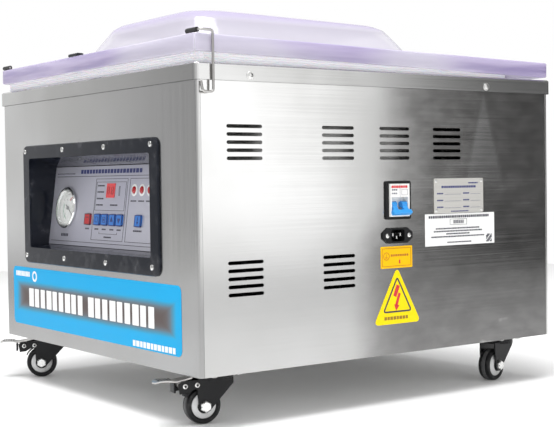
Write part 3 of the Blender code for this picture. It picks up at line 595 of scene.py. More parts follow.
def clear_acrylic():
    """Clear where it is looked through face on, lavender and milky at the sheet's edges."""
    made = Finish("clear_acrylic", (0.9, 0.88, 0.97), 0.06, 0.0, IOR=1.49)
    x = (made.along("X") - (lid_low.x + lid_high.x) / 2).size()
    y = made.along("Y")
    z = made.along("Z")
    half = (lid_high.x - lid_low.x) / 2
    rim = (x - half).largest((y - (lid_low.y + lid_high.y) / 2).size() - (lid_high.y - lid_low.y) / 2)
    band = rim.rising(-0.0022, -0.0012)
    glow = made.noise(1.0, 2.0, (7, 5, 90), 2.0)
    bright = made.noise(3.2, 1.0, (1, 1, 1), 5.0).rising(0.44, 0.6)
    sawn = made.mixed(glow.rising(0.35, 0.65), (0.31, 0.26, 0.45), (0.45, 0.39, 0.58))
    edge = made.mixed(bright * 0.7, sawn, (0.6, 0.58, 0.66))
    crown = z.rising(lid_high.z - 0.02, lid_high.z - 0.006)
    grazing = made.node("LayerWeight", None, {"Blend": 0.35}, "Facing")
    dome = made.mixed((crown * 0.8).largest(grazing * 0.3), (0.68, 0.66, 0.73), (0.36, 0.31, 0.48))
    made.tinted(band, dome, edge)
    made.vary({"Alpha": 0.3 + band * 0.58 + (1 - band) * (crown * 0.35 + grazing * 0.28)})
    made.vary({"Roughness": 0.05 + band * 0.12})
    return made


lid_sheet = refined("lid", "lid_sheet", 18, 1)
finished(lid_sheet, clear_acrylic(), "lid")


# Gasket and pads: extruded silicone strips pushed into grooves under the lid. They look milky, and
# fine moulding lines run along them. The two pads take the pressure of the sealing bars.

silicone = Finish("silicone", (0.86, 0.85, 0.89), 0.42, 0.0, Subsurface_Weight=0.15)
ribs = silicone.bands("Z", 110.0)
haze = silicone.noise(8.0, 3.0)
silicone.tinted(ribs * 0.35 + haze * 0.2, (0.94, 0.93, 0.96), (0.7, 0.68, 0.76))
silicone.bumped(ribs, 0.0004)
dress(silicone, "lid_gasket", "front_counter_bar", "rear_counter_bar")


# Hinges: zinc-plated strap hinges at the rear, each with a bracket on the deck and an arm on the lid.
# Two button-head screws hold each leaf, and a torsion spring sits on each pin.

dress(zinc, "hinge_bracket_left", "hinge_bracket_right", "hinge_arm_left", "hinge_arm_right")

HINGE_SCREW_SHIFT = 0.02
for side in ("left", "right"):
    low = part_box(f"hinge_bracket_{side}")[0]
    x = middle(f"hinge_bracket_{side}").x
    on_bracket = []
    on_arm = []
    for shift in (-HINGE_SCREW_SHIFT, HINGE_SCREW_SHIFT):
        on_bracket.append(facing(x + shift, deck_high.y + 0.003, low.z + 0.0055, (0, 1, 0)))
        on_arm.append(lid_place @ at(x + shift, -0.0142, 0.015) @ facing(0, 0, 0, (0, 1, 0)))
    screw_set(f"hinge_bracket_screws_{side}", screw_head(0.0036), on_bracket)
    screw_set(f"hinge_arm_screws_{side}", screw_head(0.0036), on_arm, "lid")


# Lift tab and clips: a black tab is glued to the lid's front edge. Each clip is a 3.8 mm sprung wire
# in a black rubber sleeve, bent to hook under the deck's band.

gloss_black = Finish("gloss_black", (0.01, 0.012, 0.018), 0.14, 0.0, Specular_IOR_Level=0.28)
dust = gloss_black.noise(60.0, 5.0)
gloss_black.vary({"Roughness": 0.1 + dust.rising(0.45, 0.75) * 0.2})
gloss_black.tinted(dust.rising(0.52, 0.8), (0.008, 0.01, 0.016), (0.035, 0.037, 0.045))

tab_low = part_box("lift_tab")[0]
tab = slab((-0.0545, 0.0, 0.0), (-0.0225, 0.0115, 0.0042), 0.003, 2, 0.0012)
ridges = [tab]
for k in range(5):
    x = -0.05 + k * 0.0055
    ridges.append(slab((x, 0.0015, 0.0036), (x + 0.0022, 0.01, 0.0047), 0.0, 2, 0.0004))
tab_place = at(0, tab_low.y + 0.0002, tab_low.z + 0.0002) @ Matrix.Rotation(-LID_TILT, 4, "X")
tab = fitted("ribbed_lift_tab", ridges, gloss_black, tab_place, "lid")
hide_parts("lift_tab")

dull_zinc = mottled("dull_zinc", (0.54, 0.53, 0.52), (0.38, 0.37, 0.36), 140.0, 0.24, 0.18, metallic=1.0)
RUBBER = (0.02, 0.02, 0.02)
sleeve_rubber = mottled("sleeve_rubber", RUBBER, RUBBER, 200.0, 0.4, 0.25, share=0.0, bump=0.0001)
CLIP_PARTS = (
    ("clip_wire", "sprung_wire", dull_zinc, "zinc"),
    ("clip_sleeve", "rubber_sleeve", sleeve_rubber, "sleeve_black"),
)
for part, name, finish, slot in CLIP_PARTS:
    for side in ("left", "right"):
        finished(refined(f"{side}_{part}", f"{side}_{name}", 50, 1), finish, f"{side}_clip")


# Control recess: a glossy vacuum-formed box behind a screwed bezel of the same plastic.
# Its ceiling and floor draw together to the rear and mirror the panel.

dress(gloss_black, "control_bezel", "control_housing")


# Control panel: satin aluminium, printed in the machine's colours and leaning back in the recess.
# The print is thin ink, and what would be words is plain bars, frames and marks.

PANEL_TILT = math.radians(7.64)
INK = 0.00025
panel_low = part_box("control_panel")[0]
panel_foot = (0, panel_low.y, panel_low.z)
panel_place = Matrix.Translation(panel_foot) @ Matrix.Rotation(-PANEL_TILT, 4, "X")

panel_metal = Finish("panel_metal", (0.56, 0.56, 0.66), 0.34, 0.55)
brush = panel_metal.noise(1.0, 2.0, GRAIN_SCALE["X"])
sheen = panel_metal.noise(5.0, 1.0, (1, 1, 1), 2.0)
panel_metal.tinted(sheen.rising(0.3, 0.7), (0.5, 0.5, 0.6), (0.62, 0.62, 0.7))
panel_metal.vary({"Roughness": 0.28 + brush * 0.16})
dress(panel_metal, "control_panel")


def ink(name, color, rough=0.4):
    """Screen print: even colour with the slight unevenness of a squeegee."""
    lighter = [min(1.0, c * 1.3 + 0.01) for c in color]
    return mottled(name, color, lighter, 900.0, rough - 0.075, 0.15, share=0.3, detail=2.0)


dark_ink = ink("dark_ink", (0.035, 0.035, 0.055))
grey_ink = ink("grey_ink", (0.16, 0.16, 0.2))
red_ink = ink("red_ink", (0.62, 0.02, 0.03))
navy_ink = ink("navy_ink", (0.02, 0.03, 0.16))
white_ink = ink("white_ink", (0.86, 0.86, 0.86))
green_ink = ink("green_ink", (0.05, 0.35, 0.16))


def bar(x0, x1, z0, z1, depth=INK, corner=0.0):
    """One printed bar on an upright face, standing out towards -Y."""
    return slab((x0, -depth, z0), (x1, 0.0, z1), corner, 1)


def frame_line(x0, x1, z0, z1, line, depth=INK):
    """A printed rectangle, as four bars."""
    sides = [bar(x0, x1, z0, z0 + line, depth), bar(x0, x1, z1 - line, z1, depth)]
    for left, right in ((x0, x0 + line), (x1 - line, x1)):
        sides.append(bar(left, right, z0 + line, z1 - line, depth))
    return sides


def bar_row(x0, x1, z, high, widths, gap):
    """A row of short bars of changing width, where a line of words would be."""
    marks = []
    x = x0
    k = 0
    while x + widths[k % len(widths)] <= x1:
        wide = widths[k % len(widths)]
        marks.append(bar(x, x + wide, z - high / 2, z + high / 2))
        x += wide + gap
        k += 1
    return marks


lines = [bar(-0.19, 0.178, 0.1072, 0.108), bar(-0.19, 0.178, 0.0058, 0.0066)]
lines += frame_line(-0.054, 0.045, 0.0107, 0.1036, 0.0007)
lines += frame_line(-0.051, 0.041, 0.0556, 0.0988, 0.0006)
lines += frame_line(0.0518, 0.171, 0.0107, 0.1036, 0.0007)
rows = []
for z in (0.093, 0.0835, 0.0735, 0.064):
    rows.append((-0.047, -0.026, z, 0.0022, (0.0035, 0.005), 0.0012))
rows.append((-0.003, 0.02, 0.064, 0.0022, (0.004, 0.003), 0.0011))
for row in rows:
    lines += bar_row(*row)
lines += frame_line(0.02, 0.0232, 0.078, 0.092, 0.0006)
for x in (-0.0682, -0.0376, -0.0142, 0.0098, 0.032):
    lines += bar_row(x - 0.007, x + 0.0072, 0.0275, 0.0022, (0.0036, 0.0026), 0.001)
lines += bar_row(0.074, 0.103, 0.0275, 0.0024, (0.0042, 0.003, 0.005), 0.0012)
for x0, x1, top in ((-0.03, 0.026, 0.0211), (-0.03, -0.0294, 0.0235), (0.0254, 0.026, 0.0235)):
    lines.append(bar(x0, x1, 0.0205, top))
lines += bar_row(-0.013, 0.011, 0.016, 0.0022, (0.004, 0.003), 0.001)
for x in (0.0663, 0.0888, 0.1113):
    lines += bar_row(x - 0.008, x + 0.0085, 0.0705, 0.002, (0.0036, 0.0028), 0.001)
lines += bar_row(-0.156, -0.129, 0.016, 0.0044, (0.0038, 0.0034, 0.004), 0.0014)
fitted("panel_lines", lines, dark_ink, panel_place)

heading = bar_row(-0.108, 0.09, 0.1148, 0.0062, (0.0075, 0.0064, 0.0082, 0.007), 0.0024)
fitted("panel_heading", heading, navy_ink, panel_place)
small = bar_row(-0.19, -0.125, 0.112, 0.0022, (0.004, 0.0026), 0.0012)
fitted("panel_small_line", small, grey_ink, panel_place)
corner = bar_row(0.156, 0.178, 0.115, 0.004, (0.0045,), 0.0014)
fitted("panel_corner_mark", corner, ink("sky_ink", (0.02, 0.3, 0.7)), panel_place)

window = slab((-0.018, -0.0009, 0.0748), (0.0082, 0.0, 0.0964), 0.0008, 1, 0.0003)
display = Finish("display_window", (0.3, 0.01, 0.014), 0.08, 0.0, Coat_Weight=0.6)
# Painted glow: the red window is given an emission of its own, though the segments behind it are unlit.
display.vary({"Emission Color": (0.9, 0.02, 0.03, 1.0)})
display.shader.inputs["Emission Strength"].default_value = 0.22
smoke = display.noise(40.0, 2.0)
display.tinted(smoke, (0.42, 0.008, 0.012), (0.62, 0.02, 0.03))
fitted("display_window", [window], display, panel_place)

SEGMENT = 0.0052
digits = []
for x in (-0.0112, 0.0014):
    for row in (0, 1, 2):
        z = 0.0804 + row * SEGMENT
        digits.append(slab((x - 0.0022, -0.0012, z - 0.0004), (x + 0.0022, -0.0008, z + 0.0004), 0.0003, 1))
    for side in (-1, 1):
        for row in (0, 1):
            z = 0.0804 + (row + 0.5) * SEGMENT
            spot = x + side * 0.0028
            low = (spot - 0.0004, -0.0012, z - 0.0021)
            digits.append(slab(low, (spot + 0.0004, -0.0008, z + 0.0021), 0.0003, 1))
UNLIT_RED = (0.16, 0.01, 0.012)
unlit = mottled("unlit_segment", UNLIT_RED, UNLIT_RED, 80.0, 0.15, 0.1, share=0.0, detail=2.0)
fitted("display_segments", digits, unlit, panel_place)

LAMP_X = (0.0663, 0.0888, 0.1113)
LAMP_Z = 0.0864
LAMP_RING = [(0.0058, 0.0), (0.0088, 0.0), (0.0088, 0.0005), (0.0078, 0.0009), (0.0058, 0.0009)]
LAMP_DOME = [(0.0054, 0.0), (0.0054, 0.0012), (0.0046, 0.0022), (0.003, 0.0029), (0.0012, 0.0032)]
rings = []
lenses = []
for x in LAMP_X:
    spot = at(x, 0, LAMP_Z) @ spun(90, "X")
    ring = turned(LAMP_RING, 28, True)
    rings.append(settled(ring, "ring", spot))
    lenses.append(settled(smoothed(turned(LAMP_DOME, 24), 50), "lens", spot))
fitted("lamp_rings", rings, white_ink, panel_place)
lens_red = Finish("lens_red", (0.52, 0.01, 0.015), 0.12, 0.0, Coat_Weight=0.5)
facet = lens_red.node("TexVoronoi", None, {"Vector": lens_red.place(), "Scale": 900.0}, "Distance")
lens_red.bumped(facet, 0.0002)
lens_red.tinted(facet, (0.62, 0.01, 0.02), (0.3, 0.005, 0.01))
fitted("indicator_lenses", lenses, lens_red, panel_place)


# Gauge: an enamelled dial in a chromed case with a domed glass. A red arc runs over its top and a
# green one over its lower left, and plain numbers stand at the main ticks.

GAUGE_X = middle("gauge_case").x
GAUGE_V = 0.0582
DIAL_DEPTH = 0.0028
dial_place = panel_place @ at(GAUGE_X, 0.0, GAUGE_V) @ spun(90, "X")

CHROME = (0.8, 0.8, 0.79)
chrome = mottled("bright_case", CHROME, CHROME, 70.0, 0.1, 0.1, share=0.0, detail=2.0, metallic=1.0)
dress(chrome, "gauge_case")

enamel = mottled("dial_enamel", (0.92, 0.92, 0.9), (0.82, 0.82, 0.8), 300.0, 0.3, share=0.4, detail=2.0)
dial = turned([(0.0262, -DIAL_DEPTH), (0.0262, -DIAL_DEPTH + 0.0004), (0.0255, -DIAL_DEPTH + 0.0006)], 48)
fitted("gauge_dial", [dial], enamel, dial_place)


def flat_ring(inner, outer, high, sides=32):
    return turned([(inner, 0.0), (outer, 0.0), (outer, high), (inner, high)], sides, True)


def sector(inner, outer, high, start, end):
    """A flat arc of under half a turn, cut from a ring. Angles are in degrees from +X."""
    item = flat_ring(inner, outer, high, 72)
    pick(item)
    edit_mode()
    for degrees, side in ((start, -1), (end, 1)):
        angle = math.radians(degrees)
        normal = (-side * math.sin(angle), side * math.cos(angle), 0)
        bpy.ops.mesh.select_all(action="SELECT")
        bpy.ops.mesh.bisect(plane_co=(0, 0, 0), plane_no=normal, use_fill=True, clear_outer=True)
    object_mode()
    return item


DIAL_START = 225
DIAL_SWEEP = 270
on_dial = dial_place @ at(0, 0, 0.0006 - DIAL_DEPTH)

ticks = []
for k in range(51):
    angle = math.radians(DIAL_START - DIAL_SWEEP * k / 50)
    long = 0.0042 if k % 5 == 0 else 0.0022
    wide = 0.00035 if k % 5 == 0 else 0.0002
    tick = slab((0.0232 - long, -wide, 0.0), (0.0232, wide, 0.0002), 0.0, 2)
    ticks.append(settled(tick, "tick", Matrix.Rotation(angle, 4, "Z")))
fitted("dial_ticks", ticks, dark_ink, on_dial)

numbers = []
for k in range(6):
    angle = math.radians(DIAL_START - DIAL_SWEEP * k / 5)
    clear_selection()
    bpy.ops.object.text_add()
    number = bpy.context.active_object
    number.data.body = str(2 * k)
    number.data.size = 0.0058
    number.data.align_x = "CENTER"
    number.data.align_y = "CENTER"
    number.data.extrude = 0.0001
    bpy.ops.object.convert(target="MESH")
    place = at(0.015 * math.cos(angle), 0.015 * math.sin(angle), 0.0001)
    numbers.append(settled(number, "number", place))
fitted("dial_numbers", numbers, dark_ink, on_dial)

limit = slab((-0.008, -0.0008, 0.0002), (0.008, 0.0008, 0.0006), 0.0007, 2)
limit_place = on_dial @ at(0.009, 0.0165, 0) @ spun(38, "Z")
fitted("dial_limit_mark", [limit], red_ink, limit_place)
fitted("dial_green_arc", [sector(0.017, 0.0184, 0.0002, 158, 250)], green_ink, on_dial)

SOOT = (0.015, 0.015, 0.015)
needle_black = mottled("needle_black", SOOT, SOOT, 200.0, 0.3, 0.2, share=0.0, detail=2.0)
dress(needle_black, "gauge_needle")

pane = Finish("gauge_pane", (0.92, 0.95, 0.95), 0.03, 0.0, IOR=1.5)
rim_light = pane.node("LayerWeight", None, {"Blend": 0.3}, "Facing")
pane.vary({"Alpha": 0.1 + rim_light * 0.25})
DOMED = [
    (0.0287, 0.0022), (0.0287, 0.003), (0.025, 0.0036),
    (0.019, 0.0041), (0.012, 0.0044), (0.004, 0.0045),
]
glass = smoothed(turned(DOMED, 48), 40)
glass = fitted("domed_gauge_glass", [glass], pane, dial_place)
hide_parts("gauge_glass")


# Keys: moulded caps with a soft grain, one red and five blue. Each has a dark printed border on the
# panel and a plain mark of its own.

KEY_V = 0.0417
KEY_X = {"stop": -0.0682, "select": -0.0376, "set": -0.0142, "up": 0.0098, "down": 0.032, "cycle": 0.0874}
CAP_FRONT = 0.0024
BORDER_WIDE = 0.0089
BORDER_HIGH = 0.0084


def key_cap(name, color):
    shade = [c * 0.7 for c in color]
    return mottled(name, color, shade, 1400.0, 0.3, 0.12, share=0.4, detail=2.0, bump=0.00006)


key_red = key_cap("key_red", (0.56, 0.02, 0.025))
key_blue = key_cap("key_blue", (0.025, 0.19, 0.62))


def pointer(x, z, radius, way):
    """A small triangular mark on a key's face."""
    clear_selection()
    bpy.ops.mesh.primitive_cylinder_add(vertices=3, radius=radius, depth=0.0003, location=(0, 0, 0))
    item = bpy.context.active_object
    edit_mode()
    bpy.ops.mesh.bevel(offset=radius * 0.06, segments=1, affect="EDGES")
    object_mode()
    spin = spun(way, "Y") @ spun(90, "X")
    return settled(item, "mark", at(x, -CAP_FRONT, z) @ spin)


def key_mark(key, x):
    face = CAP_FRONT + 0.0002
    if key == "up":
        return [pointer(x, KEY_V, 0.0052, 0)]
    if key == "down":
        return [pointer(x, KEY_V, 0.0052, 180)]
    if key in ("select", "set"):
        ring = frame_line(x - 0.0042, x + 0.0042, KEY_V - 0.0042, KEY_V + 0.0042, 0.0009, face)
        if key == "set":
            ring.append(bar(x - 0.0016, x + 0.0016, KEY_V - 0.0016, KEY_V + 0.0016, face))
        return ring
    if key == "cycle":
        stem = bar(x - 0.0008, x + 0.0008, KEY_V, KEY_V + 0.0052, face)
        return [pointer(x, KEY_V - 0.0026, 0.0034, 180), stem]
    return [bar(x - 0.0045, x + 0.0045, KEY_V + 0.0024, KEY_V + 0.0036, face)]


for key, x in KEY_X.items():
    cap, mark_ink, slot = key_blue, navy_ink, "key_blue"
    if key == "stop":
        cap, mark_ink, slot = key_red, dark_ink, "key_red"
    dress(cap, f"{key}_button")
    edges = (x - BORDER_WIDE, x + BORDER_WIDE, KEY_V - BORDER_HIGH, KEY_V + BORDER_HIGH)
    border = frame_line(*edges, 0.0011, CAP_FRONT + 0.0002)
    fitted(f"{key}_mark", border + key_mark(key, x), mark_ink, panel_place, f"{key}_key")


# Front sticker: printed vinyl with round corners. Its blue border fades to a smoky middle. Plain
# white blocks stand where the maker's words would be.

face_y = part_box("front_panel")[0].y
VINYL = 0.0004
STICKER = (-0.272, 0.256, 0.092, 0.185)


def sticker_vinyl():
    made = Finish("sticker_vinyl", (0.0, 0.42, 0.86), 0.32, 0.0, Specular_IOR_Level=0.12)
    x0, x1, z0, z1 = STICKER
    across = ((made.along("X") - (x0 + x1) / 2) * (2 / (x1 - x0))).size()
    up = ((made.along("Z") - (z0 + z1) / 2) * (2 / (z1 - z0))).size()
    side = across.rising(0.8, 1.0)
    ends = up.rising(0.05, 0.68)
    blur = made.noise(14.0, 2.0)
    glow = side.largest(ends) + (blur - 0.5) * 0.12
    stops = [
        (0.0, (0.1, 0.075, 0.07)),
        (0.25, (0.12, 0.11, 0.115)),
        (0.45, (0.12, 0.17, 0.21)),
        (0.68, (0.05, 0.28, 0.44)),
        (0.85, (0.004, 0.37, 0.7)),
        (1.0, (0.001, 0.38, 0.74)),
    ]
    tone = made.node("ValToRGB", {"stops": stops}, {0: glow}, "Color")
    made.vary({"Base Color": tone, "Roughness": 0.24 + blur * 0.16})
    return made


x0, x1, z0, z1 = STICKER
sticker = slab((x0, face_y - VINYL, z0), (x1, face_y, z1), 0.009, 1, 0.0001, 6)
fitted("front_sticker", [sticker], sticker_vinyl())

on_front = at(0, face_y - VINYL, 0)
blocks = []
for left, right in ((-0.212, -0.018), (-0.006, 0.193)):
    step = (right - left) / 9
    for k in range(9):
        wide = step * (0.7 if k % 3 else 0.8)
        blocks.append(bar(left + k * step, left + k * step + wide, 0.123, 0.152, 0.0003, 0.0012))
fitted("sticker_blocks", blocks, white_ink, on_front)
small_blocks = bar_row(0.127, 0.248, 0.0985, 0.008, (0.007, 0.0085, 0.0062), 0.0024)
small_blocks += bar_row(-0.261, -0.202, 0.174, 0.008, (0.0052, 0.0068), 0.0018)
fitted("sticker_small_blocks", small_blocks, white_ink, on_front)
spot = at(-0.1905, face_y - VINYL, 0.1715) @ spun(90, "X")
fitted("sticker_ring", [flat_ring(0.0052, 0.0086, 0.0003)], white_ink, spot)


# Right side labels: two yellow vinyl signs, the aluminium rating plate on four rivets, and a white
# paper label below it. Their words are plain bars, and the signs carry plain shapes.

face_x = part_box("right_side_panel")[1].x
on_side = at(face_x, 0, 0) @ spun(90, "Z")


def vinyl(name, color):
    worn = [c * 0.82 for c in color]
    return mottled(name, color, worn, 25.0, 0.24, 0.16, share=0.35, Specular_IOR_Level=0.2)


yellow = vinyl("yellow_vinyl", (1.0, 0.76, 0.0))
amber = vinyl("amber_vinyl", (1.0, 0.56, 0.0))
amber_ink = ink("amber_ink", (0.45, 0.16, 0.0))

sign = slab((-0.0235, -0.0003, 0.1924), (0.036, 0.0, 0.2234), 0.0015, 1)
fitted("small_sign", [sign], amber, on_side)
proud = on_side @ at(0, -0.0003, 0)
marks = frame_line(-0.0208, 0.0333, 0.195, 0.2208, 0.0007)
marks += bar_row(-0.005, 0.031, 0.2105, 0.003, (0.0036, 0.003), 0.001)
ring = flat_ring(0.0048, 0.0057, 0.0002)
marks.append(settled(ring, "ring", at(-0.013, 0, 0.2095) @ spun(90, "X")))
marks += [bar(-0.0133, -0.0127, 0.2085, 0.213), bar(-0.016, -0.01, 0.2079, 0.2085)]
marks.append(bar(-0.0148, -0.0112, 0.2064, 0.207))
fitted("small_sign_marks", marks, amber_ink, proud)
fitted("small_sign_spot", [bar(0.0105, 0.013, 0.1985, 0.204)], red_ink, proud)


def triangle(name, base_left, base_right, foot, top, corner, depth, hollow=0.0):
    """A triangular plate with round corners, or the outline of one."""
    clear_selection()
    bpy.ops.mesh.primitive_cylinder_add(vertices=3, radius=1, depth=depth, location=(0, 0, 0))
    item = bpy.context.active_object
    wide = (base_right - base_left) / math.sqrt(3)
    high = (top - foot) / 1.5
    item.scale = (wide, high, 1)
    bpy.ops.object.transform_apply(scale=True)
    edit_mode()
    choose(item, "EDGE", running(2))
    bpy.ops.mesh.bevel(offset=corner, segments=5, affect="EDGES")
    if hollow:
        choose(item, "FACE", lambda side: abs(side.normal.z) > 0.9)
        bpy.ops.mesh.inset(thickness=hollow)
        bpy.ops.mesh.bridge_edge_loops()
    object_mode()
    centre = ((base_left + base_right) / 2, -depth / 2, foot + high * 0.5)
    return settled(item, name, on_side @ at(*centre) @ spun(90, "X"))


sign = triangle("triangle_sign", -0.0375, 0.0508, 0.113, 0.194, 0.0085, 0.0003)
finished(sign, yellow, "cabinet")
outline = triangle("triangle_outline", -0.0212, 0.0348, 0.1292, 0.1815, 0.006, 0.0005, 0.0024)
finished(outline, dark_ink, "cabinet")
zigzag = []
for x, z, wide, long, lean in ((0.0052, 0.16, 0.0064, 0.017, 24), (0.0078, 0.148, 0.0046, 0.018, 20)):
    leaning = at(x, 0, z) @ spun(lean, "Y")
    zigzag.append(settled(slab((-wide / 2, -0.0002, -long / 2), (wide / 2, 0, long / 2)), "stroke", leaning))
clear_selection()
bpy.ops.mesh.primitive_cylinder_add(vertices=3, radius=0.0058, depth=0.0002, location=(0, 0, 0))
head = bpy.context.active_object
bpy.ops.object.transform_apply()
down = at(0.005, -0.0001, 0.1372) @ spun(190, "Y")
zigzag.append(settled(head, "head", down @ spun(90, "X")))
fitted("triangle_sign_mark", zigzag, red_ink, proud)
words = bar_row(-0.018, 0.032, 0.1215, 0.0046, (0.0046, 0.004, 0.005), 0.0012)
fitted("triangle_sign_bars", words, ink("brown_ink", (0.3, 0.17, 0.0)), proud)

plate_metal = mottled(
    "rating_plate", (0.66, 0.65, 0.62), (0.54, 0.53, 0.5), 1.0, 0.26, 0.14, detail=2.0, metallic=0.35,
    stretch=GRAIN_SCALE["Y"],
)
dress(plate_metal, "data_plate")
plate_low, plate_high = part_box("data_plate")
plate_face = at(face_x + 0.0011, 0, 0) @ spun(90, "Z")
y0, y1 = plate_low.y, plate_high.y
marks = bar_row(y0 + 0.015, y1 - 0.015, plate_high.z - 0.0125, 0.0032, (0.003, 0.0024), 0.001)
marks += bar_row(y0 + 0.07, y1 - 0.011, plate_high.z - 0.007, 0.002, (0.003, 0.002), 0.0008)
for row in range(3):
    z = plate_high.z - 0.0235 - row * 0.01
    for start, end in ((y0 + 0.006, y0 + 0.054), (y0 + 0.059, y1 - 0.006)):
        marks += bar_row(start, start + 0.014, z + 0.0014, 0.002, (0.0028, 0.002), 0.0008)
        marks.append(bar(start + 0.015, end, z, z + 0.0003))
marks += bar_row(y0 + 0.034, y1 - 0.03, plate_low.z + 0.0026, 0.0016, (0.0022,), 0.0008)
fitted("plate_print", marks, navy_ink, plate_face)

RIVET = [(0.0024, 0.0), (0.0024, 0.0005), (0.0018, 0.0011), (0.0008, 0.0014)]
places = []
for y in (y0 + 0.004, y1 - 0.004):
    for z in (plate_low.z + 0.004, plate_high.z - 0.004):
        places.append(facing(face_x + 0.001, y, z, (1, 0, 0)))
screw_set("plate_rivets", smoothed(turned(RIVET, 20), 40), places)

paper = mottled("label_paper", (0.9, 0.9, 0.89), (0.78, 0.78, 0.77), 500.0, 0.45, share=0.3)
label = slab((0.0617, -0.0002, 0.22), (0.204, 0.0, 0.2668), 0.0008, 1)
fitted("paper_label", [label], paper, on_side)
on_label = on_side @ at(0, -0.0002, 0)
marks = bar_row(0.069, 0.192, 0.2622, 0.0036, (0.0032, 0.0026, 0.0038), 0.0011)
for row, (start, end) in enumerate(((0.083, 0.174), (0.079, 0.178), (0.104, 0.154), (0.074, 0.183))):
    marks += bar_row(start, end, 0.245 - row * 0.004, 0.002, (0.0024, 0.0018, 0.003), 0.0008)
marks += bar_row(0.106, 0.156, 0.2245, 0.0018, (0.0024, 0.0018), 0.0008)
marks += frame_line(0.1115, 0.146, 0.25, 0.2588, 0.0004)
for k in range(14):
    start = 0.118 + k * 0.0016
    marks.append(bar(start, start + (0.0009 if k % 3 else 0.0005), 0.252, 0.257))
fitted("label_print", marks, dark_ink, on_label)
squares = []
for column in range(6):
    for row in range(6):
        if (column * 3 + row * 5) % 4 != 1:
            y = 0.1865 + column * 0.002
            z = 0.2225 + row * 0.002
            squares.append(bar(y, y + 0.0017, z, z + 0.0017))
fitted("label_squares", squares, dark_ink, on_label)


# Breaker: a white two-pole breaker behind a black snap-in frame. Its two light blue levers are joined
# by a bar, so they move as one. Its print is plain rows.

SATIN_BLACK = (0.01, 0.01, 0.011)
matte_black = mottled(
    "matte_black", SATIN_BLACK, SATIN_BLACK, 220.0, 0.36, 0.16, share=0.0, bump=0.00008,
    Specular_IOR_Level=0.22,
)
dress(matte_black, "switch_frame", "power_inlet")

white_plastic = mottled(
    "white_plastic", (0.9, 0.9, 0.88), (0.78, 0.78, 0.75), 40.0, 0.34, share=0.4, detail=2.0
)
dress(white_plastic, "switch_body")

on_nose = at(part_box("switch_body")[1].x, 0, 0) @ spun(90, "Z")
marks = bar_row(-0.007, 0.0255, 0.3078, 0.0034, (0.004, 0.003), 0.0008)
fitted("breaker_top_print", marks, red_ink, on_nose)
marks = bar_row(-0.006, 0.006, 0.3035, 0.002, (0.0026,), 0.0009) + [bar(0.00885, 0.00915, 0.2935, 0.311)]
marks += frame_line(0.012, 0.023, 0.296, 0.304, 0.0003)
marks += bar_row(-0.006, 0.005, 0.2985, 0.0018, (0.0022, 0.003), 0.0009)
fitted("breaker_print", marks, grey_ink, on_nose)

joints = {joint["name"]: joint for joint in frame["joints"]}
BREAKER_AXIS = joints["breaker_throw"]["pos_m"]
lever_blue = mottled(
    "lever_blue", (0.035, 0.33, 0.8), (0.02, 0.24, 0.62), 150.0, 0.26, 0.12, share=0.5, detail=2.0
)
lever_place = Matrix.Translation(BREAKER_AXIS) @ spun(55, "Y")
parts = []
for y in (-0.0096, 0.0096):
    drum = turned([(0.0043, -0.0048), (0.0043, 0.0048)], 28)
    parts.append(settled(drum, "drum", at(0, y, 0) @ spun(90, "X")))
    parts.append(slab((0.002, y - 0.0042, -0.0026), (0.0135, y + 0.0042, 0.0024), 0.0, 2, 0.0006))
parts.append(slab((0.0105, -0.0165, -0.0036), (0.017, 0.018, 0.003), 0.001, 1, 0.0005))
parts.append(slab((0.0165, -0.0075, -0.0014), (0.0173, 0.008, 0.0006), 0.0, 2))
levers = fitted("twin_levers", parts, lever_blue, lever_place, "breaker_lever")
smoothed(levers, 40)
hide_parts("switch_lever")


# Inlet: a black appliance inlet on two bright countersunk screws, with three bright pins inside.

inlet_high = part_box("power_inlet")[1]
INLET_Y = middle("power_inlet").y
INLET_Z = middle("power_inlet").z
places = [facing(inlet_high.x, INLET_Y + shift, INLET_Z, (1, 0, 0)) for shift in (-0.0205, 0.0205)]
screw_set("inlet_screws", screw_head(0.0033), places)

pins = []
for dy, dz in ((-0.007, 0.0012), (0.007, 0.0012), (0, -0.0028)):
    low = (inlet_high.x - 0.02, INLET_Y + dy - 0.0012, INLET_Z + dz - 0.0022)
    high = (inlet_high.x - 0.003, INLET_Y + dy + 0.0012, INLET_Z + dz + 0.0022)
    pins.append(slab(low, high, 0.0004, 0, 0.0003))
fitted("inlet_pins", pins, zinc)


# Casters: pressed steel plates and forks in black paint, a zinc-plated axle bolt, and a moulded wheel
# with a pale hub and a black tyre. The two front ones have a sprung brake pedal on a rivet.

PAINT = (0.008, 0.008, 0.009)
black_paint = mottled(
    "black_paint", PAINT, PAINT, 260.0, 0.28, 0.2, share=0.0, bump=0.0001, Specular_IOR_Level=0.22
)
tyre_black = Finish("tyre_black", (0.01, 0.01, 0.011), 0.36, 0.0, Specular_IOR_Level=0.25)
grime = tyre_black.noise(120.0, 4.0)
tyre_black.tinted(grime.rising(0.5, 0.8), (0.009, 0.009, 0.01), (0.05, 0.05, 0.05))
tyre_black.vary({"Roughness": 0.3 + grime * 0.25})
tread_grey = mottled("tread_band", (0.055, 0.055, 0.058), (0.12, 0.12, 0.12), 160.0, 0.55, detail=4.0)
hub_pale = mottled("hub_pale", (0.7, 0.7, 0.7), (0.5, 0.5, 0.5), 90.0, 0.26, 0.16, share=0.6)

WHEEL_R = 0.0245
TYRE = [
    (0.0172, 0.0076), (0.0177, 0.0086), (0.0184, 0.0089), (0.0188, 0.0086), (0.0192, 0.0091),
    (0.0212, 0.0095), (0.0229, 0.009), (0.0239, 0.0074), (0.0243, 0.0044), (0.024, 0.0034),
]
RIM = [
    (0.0098, 0.0112), (0.0112, 0.0114), (0.012, 0.0104), (0.015, 0.0097), (0.0166, 0.0088), (0.0174, 0.0074),
]
BEARING = [(0.0045, 0.0108), (0.0074, 0.011), (0.008, 0.0102), (0.01, 0.0102)]


